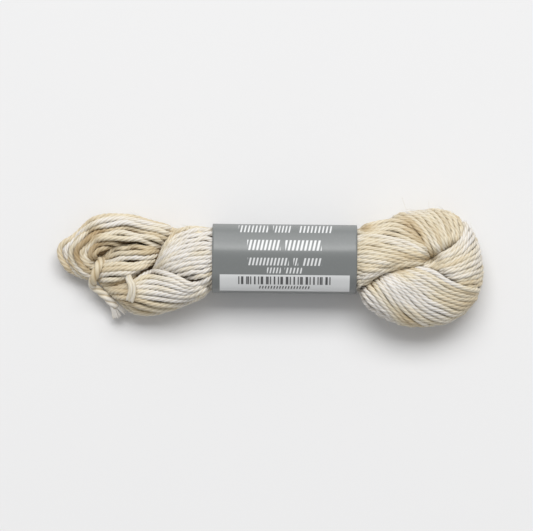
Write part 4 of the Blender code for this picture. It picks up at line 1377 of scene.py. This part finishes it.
@dataclass(frozen=True)
class SilkFinish:
    """Plied silk: pale fibres with a soft shine, hand dyed in runs from white to tan."""

    name: str
    plies: int = 4
    white: Colour = (0.80, 0.77, 0.725)
    cream: Colour = (0.755, 0.68, 0.525)
    tan: Colour = (0.62, 0.51, 0.335)
    deep: Colour = (0.42, 0.30, 0.155)
    places: tuple[float, ...] = (0.0, 0.34, 0.68, 1.0)
    blotch: float = 0.5
    streak: float = 0.16
    # painted shade: how far the grooves between plies are darkened towards tan
    groove_painted_shade: float = 0.45
    groove_rise: float = 0.75
    ply_height: float = 0.6
    relief: float = 0.00009
    roughness: tuple[float, float] = (0.40, 0.14)
    sheen: float = 0.25

    def material(self) -> bpy.types.Material:
        """Build the material.

        The dye is the mesh's own, broken up by noise along the thread.  Fine streaks follow the
        fibres, and the grooves between plies are painted a little darker and warmer: painted shade.

        Returns:
            The material.
        """
        shader = Shader(self.name)
        length, way, _ = shader.parts(shader.node("ShaderNodeUVMap", {"uv_map": "along"}).out())
        thread = shader.attribute("thread")
        around = way * FULL_TURN
        fibre = shader.vector(around.cosine() * 3.0 + thread * 40, around.sine() * 3.0, length * 1.6)
        streaks = shader.noise(fibre, scale=3.0, detail=4.0, roughness=0.65)
        blotches = shader.noise(shader.vector(length * 1.2, thread * 55, 0.0), scale=1.0, detail=2.0)
        dye = shader.attribute("dye") + (blotches - 0.5) * self.blotch + (streaks - 0.5) * self.streak
        stops = tuple(zip(self.places, (self.white, self.cream, self.tan, self.deep)))
        ramp = shader.node("ShaderNodeValToRGB", {"stops": stops}, {"Fac": dye})
        # painted shade in the grooves between plies: the colour is multiplied towards tan there
        groove = 1 - (around * (self.plies / 2)).cosine().size().ramp(0.0, self.groove_rise)
        colour = shader.mix(groove * self.groove_painted_shade, ramp.out("Color"), self.tan, "MULTIPLY")
        smoothest, rougher = self.roughness
        return shader.surface({
            "Base Color": colour,
            "Roughness": streaks * rougher + smoothest,
            "Normal": shader.bump(streaks + (1 - groove) * self.ply_height, self.relief, strength=0.7),
            "Specular IOR Level": 0.42,
            "Sheen Weight": self.sheen,
            "Sheen Roughness": 0.4,
            "Sheen Tint": (1.0, 0.97, 0.92, 1.0),
        })


@dataclass(frozen=True)
class CoreFinish:
    """The shaded threads deep inside, seen only between the outer ones."""

    name: str = "inner_silk"
    shadow: Colour = (0.16, 0.10, 0.045)
    light: Colour = (0.34, 0.24, 0.125)
    side_shadow: Colour = (0.34, 0.25, 0.14)
    side_light: Colour = (0.64, 0.54, 0.38)
    ridge: float = 0.0016
    bending: float = 0.004
    relief: float = 0.0006

    def material(self) -> bpy.types.Material:
        """Build the material: ridges about a thread wide along the skein, broken up by noise.

        The folds of the top are in deeper shade than the sides.

        Returns:
            The material.
        """
        shader = Shader(self.name)
        place = shader.place()
        x, y, z = shader.parts(place)
        bent = shader.noise(place, scale=60.0, detail=2.0) * self.bending
        ridge = ((y + z * 0.6 + bent) * (FULL_TURN / self.ridge)).sine() * 0.5 + 0.5
        twist = shader.noise(shader.vector(x, y * 2.2, z * 2.2), scale=900.0, detail=2.0)
        side = shader.attribute("side")
        dark = shader.mix(side, self.shadow, self.side_shadow)
        light = shader.mix(side, self.light, self.side_light)
        return shader.surface({"Base Color": shader.mix(ridge * twist, dark, light), "Roughness": 0.7,
                               "Normal": shader.bump(ridge + twist * 0.4, self.relief)})


@dataclass(frozen=True)
class PrintRow:
    """A row of slanted marks on the band, in millimetres from its middle."""

    low: float
    high: float
    start: float
    stop: float
    pitch: float
    share: float
    slant: float

    def mask(self, x: Value, y: Value) -> Value:
        """Return 1 on the row's marks.

        Args:
            x: distance along the band from its middle.
            y: distance across it.
        Returns:
            The mask: a share of each pitch, within the row's box.
        """
        soft, soft_edge = 0.05, 0.08
        phase = ((x + y * -self.slant) / self.pitch).part()
        mark = phase.within(0.5 - self.share / 2, 0.5 + self.share / 2, soft)
        return mark * y.within(self.low, self.high, soft_edge) * x.within(self.start, self.stop, soft)


@dataclass(frozen=True)
class PaperFinish:
    """Grey paper with a fine tooth, worn along its creases, printed with rows of plain stitches."""

    name: str = "grey_paper"
    grey: Colour = (0.184, 0.194, 0.192)
    worn: Colour = (0.31, 0.32, 0.315)
    ink: Colour = (0.80, 0.81, 0.81)
    dark: Colour = (0.03, 0.03, 0.032)
    tooth: float = 0.00003
    roughness: float = 0.34
    stitches: tuple[PrintRow, ...] = tuple(
        PrintRow(low, high, start, stop, pitch, share, 0.22)
        for low, high, share, runs in (
            (8.7, 11.0, 0.42, ((-15.3, -5.5, 1.22), (-3.9, 2.1, 1.12), (4.7, 15.8, 1.24))),
            (2.8, 6.2, 0.52, ((-12.4, -1.4, 1.30), (0.2, 12.2, 1.36))),
            (-2.2, 0.3, 0.48, ((-12.2, 1.4, 1.18), (2.9, 4.5, 0.90), (6.0, 12.3, 1.24))),
            (-4.8, -2.9, 0.42, ((-5.8, -1.2, 1.06), (0.0, 5.8, 1.15))))
        for start, stop, pitch in runs)
    panel: tuple[float, float, float, float] = (-21.4, 21.6, -10.7, -5.3)
    ticks: tuple[PrintRow, ...] = (
        PrintRow(-8.5, -5.9, -15.3, 15.8, 1.31, 0.30, 0.0),
        PrintRow(-8.5, -5.9, -15.3, 15.8, 2.17, 0.22, 0.0),
        PrintRow(-9.9, -9.0, -8.4, 8.4, 0.95, 0.45, 0.3))
    panel_edge: float = 0.06
    upper_face: tuple[float, float] = (10.0, 11.5)
    wear: tuple[float, float] = (0.35, 0.9)
    white_cover: tuple[float, float] = (0.88, 0.12)
    dark_cover: float = 0.92

    def material(self, band: BandForm) -> bpy.types.Material:
        """Build the material.

        Args:
            band: the band's place.
        Returns:
            The material.
        """
        shader = Shader(self.name)
        place = shader.place()
        centre = tuple(value * MM for value in band.middle) + (0.0,)
        turned = shader.node("ShaderNodeMapping", {"vector_type": "TEXTURE"}, {
            "Vector": place, "Location": centre,
            "Rotation": (0.0, 0.0, math.radians(band.turn_degrees))}).out()
        x, y, z = (value / MM for value in shader.parts(turned))
        over = z.ramp(*self.upper_face)
        fibres = shader.noise(place, scale=900.0, detail=4.0, roughness=0.7)
        cloud = shader.noise(place, scale=70.0)
        least_wear, more_wear = self.wear
        wear = shader.attribute("crease") * (least_wear + cloud * more_wear)
        paper = shader.mix(wear, self.grey, self.worn)
        paper = shader.mix((fibres - 0.5).size() * 0.5, paper, self.worn)
        low_x, high_x, low_y, high_y = self.panel
        white = x.within(low_x, high_x, self.panel_edge) * y.within(low_y, high_y, self.panel_edge)
        for row in self.stitches:
            white = white + row.mask(x, y)
        dark = sum((row.mask(x, y) for row in self.ticks), 0.0).maths("MINIMUM", 1.0)
        least_ink, more_ink = self.white_cover
        inked = shader.mix(white * over * (least_ink + cloud * more_ink), paper, self.ink)
        return shader.surface({
            "Base Color": shader.mix(dark * over * self.dark_cover, inked, self.dark),
            "Roughness": self.roughness + fibres * 0.10,
            "Normal": shader.bump(fibres, self.tooth),
            "Specular IOR Level": 0.55,
        })


@dataclass(frozen=True)
class FloorFinish:
    """A plain pale sweep."""

    name: str = "pale_floor"
    colour: Colour = (0.832, 0.830, 0.830)
    drift: float = 0.985

    def material(self) -> bpy.types.Material:
        """Build the material: matt, with a faint drift of tone.

        Returns:
            The material.
        """
        shader = Shader(self.name)
        duller = tuple(self.drift * part for part in self.colour)
        colour = shader.mix(shader.noise(shader.place(), scale=6.0, detail=2.0), self.colour, duller)
        return shader.surface({"Base Color": colour, "Roughness": 0.9, "Specular IOR Level": 0.15})


def dress(piece: bpy.types.Object, material: bpy.types.Material) -> None:
    """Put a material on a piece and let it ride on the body.

    Args:
        piece: the piece.
        material: its finish.
    """
    piece.data.materials.clear()
    piece.data.materials.append(material)
    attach(piece, BODY)
    LOG.info("%s: %d faces", piece.name, len(piece.data.polygons))


@dataclass
class Hank:
    """The wound silk: its outer threads, and a plain core beneath them."""

    form: HankForm
    yarn: Yarn = Yarn()
    silk_slot: str = "silk_thread"
    core_inset: float = 1.75
    core_grid: tuple[int, int] = (260, 96)
    core_sides: tuple[float, float] = (0.45, -0.1)

    near_rope: Course = Course(
        "near_rope", NEAR_ROPE_GUIDES,
        (0.42, 0.42, 0.38, 0.12, 0.14, 0.38, 0.42, 0.24, 0.2, 0.38, 0.24, 0.2, 0.28, 0.3),
        widest=(0.3, 0.6), dip=0.4, dip_width=0.3)
    first_ply: Fan = Fan(
        "first_ply", FIRST_PLY_GUIDES,
        (0.38, 0.38, 0.25, 0.08, 0.35, 0.2, 0.1, 0.3, 0.4, 0.35, 0.3, 0.4, 0.35, 0.25))
    second_ply: Fan = Fan(
        "second_ply", SECOND_PLY_GUIDES,
        (0.12, 0.1, 0.2, 0.42, 0.24, 0.38, 0.12, 0.14, 0.1, 0.24, 0.14, 0.2, 0.4, 0.3, 0.1))
    third_ply: Fan = Fan(
        "third_ply", THIRD_PLY_GUIDES,
        (0.05, 0.5, 0.15, 0.45, 0.35, 0.3, 0.1, 0.05, 0.08, 0.1, 0.15, 0.45, 0.5, 0.2, 0.1, 0.05,
         0.05))
    upper_ply: Course = Course(
        "upper_ply", UPPER_PLY_GUIDES,
        (0.4, 0.15, 0.08, 0.08, 0.1, 0.38, 0.12, 0.08, 0.3, 0.12, 0.35, 0.2),
        widest=(0.1, 0.4), dip=0.4, dip_at=(0.95,), dip_width=0.35)
    lower_lobe: Course = Course(
        "lower_lobe", LOWER_LOBE_GUIDES,
        (0.08, 0.3, 0.14, 0.12, 0.2, 0.14, 0.36, 0.42, 0.25), spacing=0.0, dip=1.0, dip_at=(0.0,),
        dip_width=0.25, yarn=LOOSE_YARN)
    loops: Course = Course(
        "loops", LOOPS_GUIDES,
        (0.42, 0.0, 0.03, 0.5, 0.2, 0.12, 0.48, 0.42),
        spacing=0.0, lie=Lie(0.26, 0.24, 4.6), samples=260, yarn=LOOSE_YARN)
    # painted shade: the threads in the loops' opening are dyed deep tan to darken the hole, where shade
    # falls
    opening: Course = Course(
        "opening_threads", OPENING_GUIDES,
        (0.7, 0.6), spacing=0.0, lie=Lie(0.25, 0.3, 3.0))
    turns: Turns = Turns(
        "turns", ((0.985, 1.4),),
        ((1.0, 1.2), (0.985, 1.3), (0.95, 1.5), (0.90, 1.8), (0.82, 2.2), (0.73, 3.2), (0.62, 4.6),
         (0.50, 6.2), (0.37, 7.8), (0.24, 9.4), (0.10, 11.0)),
        (0.4, 0.5, 0.1, 0.3, 0.5, 0.1, 0.2, 0.5, 0.3, 0.1, 0.4, 0.3))
    under_rope: Runs = Runs(
        "under_rope", ((0.99, 42.5), (0.95, 42.0)),
        ((0.995, 42.5), (0.96, 43), (0.88, 43), (0.77, 43), (0.64, 43), (0.50, 43), (0.36, 43),
         (0.22, 43), (0.08, 42), (-0.06, 41), (-0.20, 40), (-0.34, 39), (-0.48, 38), (-0.62, 37),
         (-0.75, 36), (-0.87, 35), (-0.96, 34), (-0.995, 33)),
        (0.35, 0.4, 0.4, 0.2, 0.1, 0.4, 0.5, 0.2, 0.1, 0.3, 0.5, 0.2, 0.1, 0.4, 0.2))
    left_inner: Turns = Turns(
        "left_inner_turns", ((0.90, 1.6), (0.965, 1.0), (0.995, 0.6)), ((0.98, 0.6), (0.93, 1.0)),
        (0.5, 0.3, 0.55, 0.35, 0.5), depth=1.1)
    right_inner: Turns = Turns(
        "right_inner_turns", ((0.92, 1.6), (0.975, 0.8), (0.998, 0.4)),
        ((0.995, 0.3), (0.97, 0.6), (0.93, 1.1), (0.88, 1.7), (0.82, 2.5), (0.75, 3.5), (0.67, 4.7),
         (0.585, 6.1), (0.495, 7.7), (0.40, 9.5), (0.30, 11.4), (0.19, 13.4), (0.07, 15.4)),
        (0.5, 0.3, 0.55, 0.35, 0.5, 0.3, 0.4, 0.2, 0.4, 0.3, 0.4, 0.25), start=20.0, heading=1,
        depth=1.0)
    strays: Strays = Strays()

    def core(self) -> bpy.types.Object:
        """Build the core: the wound form all round, moved in below the outer threads.

        A point is x along the skein and an angle round the section, closest near the tips.

        Returns:
            The piece, with an attribute that is 1 on its sides and underside.
        """
        rows, around = self.core_grid
        t = np.linspace(0, math.pi, rows)
        low, high = SECTIONS[0][0] + self.core_inset, SECTIONS[-1][0] - self.core_inset
        x = ((low + high) / 2 - (high - low) / 2 * np.cos(t))[:, None] * np.ones((1, around))
        angle = np.linspace(0, FULL_TURN, around, endpoint=False)[None, :] * np.ones((rows, 1))
        middle, half = self.form.width(x)
        y = middle + half * np.cos(angle)
        top, under = (self.form.settle(x, y, side, self.core_inset) for side in Side)
        points = np.where((np.sin(angle) >= 0)[..., None], top, under).reshape(-1, 3)
        ends = np.stack([points[:around].mean(axis=0), points[-around:].mean(axis=0)])
        first, last = np.full(around, len(points)), np.full(around, len(points) + 1)
        column, beside = ring_points(around)
        far = (rows - 1) * around
        caps = np.concatenate([np.column_stack([first, beside, column]),
                               np.column_stack([last, far + column, far + beside])])
        side = np.append(smoothstep(*self.core_sides, np.sin(angle)).ravel(), (1.0, 1.0))
        return make_mesh("core", np.vstack([points, ends]), (grid_cells(rows, around), caps),
                         attributes={"side": side})

    def build(self, rng: np.random.Generator) -> list[bpy.types.Object]:
        """Build and dress every piece of the silk.

        Args:
            rng: seeded source of chance.
        Returns:
            The pieces.
        """
        paths = ThreadPaths(self.form, rng, self.yarn)
        silk = SilkFinish("dyed_silk").material()
        courses = (self.near_rope, self.first_ply, self.second_ply, self.third_ply, self.upper_ply,
                   self.lower_lobe, self.loops, self.opening, self.turns, self.under_rope)
        pieces = [course.lay(paths) for course in courses] + [self.strays.lay(paths)]
        pieces += [self.left_inner.lay(paths), self.right_inner.lay(paths)]
        for piece in pieces:
            dress(piece, silk)
        core = self.core()
        dress(core, CoreFinish().material())
        for piece in pieces + [core]:
            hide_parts("hank")
        return pieces + [core]


@dataclass
class PaperBand:
    """The paper band: a flattened sleeve with soft creases."""

    form: BandForm
    thickness: float = 0.3
    ease: float = 0.12
    along: int = 72
    cuts: tuple[float, ...] = (0.15, 0.22, 0.25, 0.25)
    lap_degrees: tuple[float, float] = (-112.0, -70.0)
    lap_height: float = 0.24
    lap_edges: tuple[float, float] = (2.0, 8.0)
    buckle: float = 0.10
    buckle_power: int = 3
    buckle_wave: tuple[int, float] = (3, 1.0)
    sharp_bend: float = 0.35

    def build(self) -> bpy.types.Object:
        """Build and dress the band.

        The section runs along a straight line, with a slight buckle that grows to its ends.  Below,
        the outer skin steps out at the edge of the lapped paper and eases back where the other
        end goes under it.  The outer and the inner skin are joined at both ends.

        Returns:
            The piece.
        """
        outer = self.form.section(-self.ease, self.cuts)
        inner = self.form.section(self.thickness - self.ease, self.cuts)
        around = len(outer)
        t = np.linspace(-1, 1, self.along)
        way = np.linspace(0, FULL_TURN, around, endpoint=False)
        waves, phase = self.buckle_wave
        growth = np.abs(t[:, None]) ** self.buckle_power
        buckle = self.buckle * growth * np.sin(waves * way + phase)[None, :]
        degrees = np.degrees(np.arctan2(outer[:, 1], outer[:, 0]))
        (start, stop), (edge, flat) = self.lap_degrees, self.lap_edges
        lap = smoothstep(start, start + edge, degrees) * (1 - smoothstep(start + flat, stop, degrees))
        skins = []
        for section, step in ((outer, self.lap_height * lap), (inner, 0 * lap)):
            ring = section[None] + (buckle + step)[..., None] * unit(section)[None]
            x = np.broadcast_to((t * self.form.length / 2)[:, None], ring.shape[:2])
            skins.append(np.stack([x, ring[..., 0], ring[..., 1]], axis=-1))
        points = np.stack(skins).reshape(-1, 3)
        turn = math.radians(self.form.turn_degrees)
        placed = np.column_stack([
            points[:, 0] * math.cos(turn) - points[:, 1] * math.sin(turn) + self.form.middle[0],
            points[:, 0] * math.sin(turn) + points[:, 1] * math.cos(turn) + self.form.middle[1],
            points[:, 2] + self.form.height])
        count = self.along * around
        cells = grid_cells(self.along, around)
        column, beside = ring_points(around)
        last = count - around
        rims = np.concatenate([
            np.column_stack([beside, column, count + column, count + beside]),
            np.column_stack([last + column, last + beside, count + last + beside, count + last + column])])
        faces = np.concatenate([cells, (count + cells)[:, ::-1], rims])
        turning = np.roll(outer, -1, axis=0) - outer
        heading = np.arctan2(turning[:, 1], turning[:, 0])
        bend = np.abs((heading - np.roll(heading, 1) + math.pi) % FULL_TURN - math.pi)
        crease = np.tile(np.clip(bend / self.sharp_bend, 0, 1), 2 * self.along)
        piece = make_mesh("band_paper", placed, (faces,), attributes={"crease": crease})
        dress(piece, PaperFinish().material(self.form))
        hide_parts("band")
        return piece


@dataclass(frozen=True)
class Fray:
    """A tuft of untwisted fibres at a thread's cut end."""

    plan: tuple
    start_width: float = 0.8
    end_width: float = 1.45
    height: float = 0.5
    fibres: int = 64
    samples: int = 30
    lengths: tuple[float, float] = (0.9, 1.04)
    flare: float = 1.5
    bundle: Yarn = Yarn(diameter=0.34, lay=14.0, plies=1, sides=6, groove=0.0)

    def paths(self, rng: np.random.Generator) -> Array:
        """Return the fibres' lines, side by side over an oval that widens to the cut.

        Args:
            rng: seeded source of chance.
        Returns:
            Points of shape (fibres, points, 3).
        """
        line = smooth_path(self.plan, self.samples, measured=3)
        tangent = unit(np.gradient(line, axis=0))
        side = unit(np.cross(tangent, [0.0, 0.0, 1.0]))
        over = np.cross(side, tangent)
        s = np.linspace(0, 1, len(line))[None, :, None]
        around = rng.uniform(0, FULL_TURN, (self.fibres, 1, 1))
        out = np.sqrt(rng.uniform(0, 1, (self.fibres, 1, 1)))
        width = self.start_width + (self.end_width - self.start_width) * s**self.flare
        short = rng.uniform(*self.lengths, (self.fibres, 1, 1))
        middle = line[0] + (line - line[0]) * (1 - s * (1 - short))
        return (middle + width * out * np.cos(around) * side
                + self.height * out * np.sin(around) * over)


@dataclass
class Tie:
    """The tie: a thick thread round the neck, with its cut tail and the tail's frayed tips."""

    middle: tuple[float, float, float] = (-58.0, -1.2, 6.5)
    reach: tuple[float, float] = (4.1, 4.9)
    turn_degrees: float = 249.4
    from_degrees: float = -48.0
    to_degrees: float = -338.0
    tail: tuple = ((-59.2, -6.0, 6.4), (-57.6, -7.3, 5.9), (-55.6, -9.0, 5.7), (-53.7, -10.9, 5.5),
                   (-52.2, -12.3, 5.3), (-51.3, -13.2, 5.1))
    tips: tuple[Fray, ...] = (
        Fray(((-53.2, -11.8, 5.3), (-52.2, -14.0, 4.9), (-51.4, -16.8, 3.8)), 0.9, 1.55),
        Fray(((-52.0, -11.3, 5.5), (-50.3, -13.0, 5.3), (-48.2, -14.7, 4.4)), 0.9, 1.3))
    yarn: Yarn = Yarn(diameter=3.0, lay=10.0, plies=3, sides=18, step=0.35, groove=0.34)
    oval_points: int = 15
    path_points: int = 90
    fading: tuple = ((0.0, 0.5, 0.68, 1.0), (0.6, 0.6, 0.3, 0.08))
    mottle: tuple[float, float] = (0.06, 3.0)

    def path(self, count: int) -> Array:
        """Return the middle line: up between the loops, over the neck, down and out as the tail.

        Args:
            count: how many points.
        Returns:
            Points (x, y, z).
        """
        turn = math.radians(self.turn_degrees)
        level = np.array([math.cos(turn), math.sin(turn), 0.0])
        angle = np.radians(np.linspace(self.from_degrees, self.to_degrees, self.oval_points))[:, None]
        oval = (np.array(self.middle) + self.reach[0] * np.cos(angle) * level
                + self.reach[1] * np.sin(angle) * np.array([0.0, 0.0, 1.0]))
        return smooth_path(np.vstack([oval, self.tail]), count, measured=3)

    def build(self, rng: np.random.Generator) -> list[bpy.types.Object]:
        """Args:
            rng: seeded source of chance.
        Returns:
            The thread and its tips.
        """
        line = self.path(self.path_points)
        faded = np.interp(np.linspace(0, 1, len(line)), *self.fading)
        share, waves = self.mottle
        dye = np.clip(faded + share * wander(rng, 1, len(line), waves), 0, 1)
        thread = self.yarn.sweep("tie_thread", line[None], dye, rng)
        # the tie's ply grooves get a deeper painted shade
        dress(thread, SilkFinish("tie_silk", self.yarn.plies, groove_painted_shade=0.75).material())
        paths = np.concatenate([tip.paths(rng) for tip in self.tips])
        tips = self.tips[0].bundle.sweep("tie_tips", paths, np.zeros(paths.shape[:2]), rng)
        dress(tips, SilkFinish("cut_silk", 1, groove_painted_shade=0.0).material())
        for piece in (thread, tips):
            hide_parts("tie")
        return [thread, tips]


@dataclass
class LooseEnd:
    """The cut end that lies on the lower lobe: untwisted fibres side by side."""

    end: Fray = Fray(((-47.2, -2.5, 10.8), (-46.8, -3.8, 14.6), (-45.8, -5.7, 15.9), (-45.8, -8.4, 15.7),
                      (-46.6, -11.0, 14.4)), 1.0, 1.35, height=0.65, fibres=76)
    dye: float = 0.24
    mottle: tuple[float, float] = (0.14, 1.0)

    def build(self, rng: np.random.Generator) -> bpy.types.Object:
        """Build and dress the end.

        Args:
            rng: seeded source of chance.
        Returns:
            The piece.
        """
        paths = self.end.paths(rng)
        share, waves = self.mottle
        dye = np.clip(self.dye + share * wander(rng, *paths.shape[:2], waves), 0, 1)
        piece = self.end.bundle.sweep("cut_end", paths, dye, rng)
        dress(piece, SilkFinish("cut_end_silk", 1, groove_painted_shade=0.0).material())
        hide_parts("loose_end")
        return piece


@dataclass
class Studio:
    """Floor, soft light from above the top edge of the picture, and a camera straight down."""

    picture_width: float = 177.7
    picture_middle: tuple[float, float] = (-1.33, 0.83)
    camera_height: float = 1100.0
    focus_height: float = 9.0
    key_energy: float = 94.0
    fill_strength: float = 0.40
    key_place: tuple[float, float, float] = (0.13, 1.79, 2.65)
    key_size: tuple[float, float] = (3.0, 1.56)
    sky: Colour = (0.985, 0.99, 1.0)
    floor_half: float = 1500.0
    sensor_width: float = 36.0
    clip: tuple[float, float] = (0.05, 10.0)

    def build(self) -> None:
        """Build the floor, the lights and the camera."""
        corners = np.array([(-1, -1, 0), (1, -1, 0), (1, 1, 0), (-1, 1, 0)]) * self.floor_half
        floor = make_mesh("floor", corners, (np.array([[0, 1, 2, 3]]),))
        floor.data.materials.append(FloorFinish().material())

        key = bpy.data.lights.new("soft_key", "AREA")
        key.shape = "RECTANGLE"
        key.size, key.size_y = self.key_size
        key.energy = self.key_energy
        self.place(key, self.key_place, (0.0, 0.0, 0.0))
        world = bpy.data.worlds.new("studio")
        world.use_nodes = True
        background = world.node_tree.nodes["Background"]
        background.inputs["Color"].default_value = (*self.sky, 1.0)
        background.inputs["Strength"].default_value = self.fill_strength
        bpy.context.scene.world = world
        bpy.context.scene.view_settings.view_transform = "Standard"

        lens = bpy.data.cameras.new("camera")
        lens.sensor_fit = "HORIZONTAL"
        lens.sensor_width = self.sensor_width
        lens.lens = lens.sensor_width * (self.camera_height - self.focus_height) / self.picture_width
        lens.clip_start, lens.clip_end = self.clip
        camera = bpy.data.objects.new("camera", lens)
        camera.location = (*(value * MM for value in self.picture_middle), self.camera_height * MM)
        bpy.context.collection.objects.link(camera)
        bpy.context.scene.camera = camera

    @staticmethod
    def place(light: bpy.types.Light, place: Sequence[float], target: Sequence[float]) -> None:
        """Put a light at a place and turn it to a target.

        Args:
            light: the light.
            place: where it goes, in metres.
            target: the point it faces.
        """
        away = np.array(place) - np.array(target)
        holder = bpy.data.objects.new(light.name, light)
        holder.location = tuple(place)
        holder.rotation_euler = (math.atan2(math.hypot(away[0], away[1]), away[2]), 0.0,
                                 math.atan2(away[1], away[0]) + math.pi / 2)
        bpy.context.collection.objects.link(holder)


def main() -> None:
    """Build the studio and every piece."""
    logging.basicConfig(level=logging.INFO, format="%(name)s: %(message)s")
    rng = np.random.default_rng(SEED)
    Studio().build()
    band = BandForm()
    Tie().build(rng)
    Hank(HankForm(band)).build(rng)
    PaperBand(band).build()
    LooseEnd().build(rng)


if __name__ == "__main__":
    main()
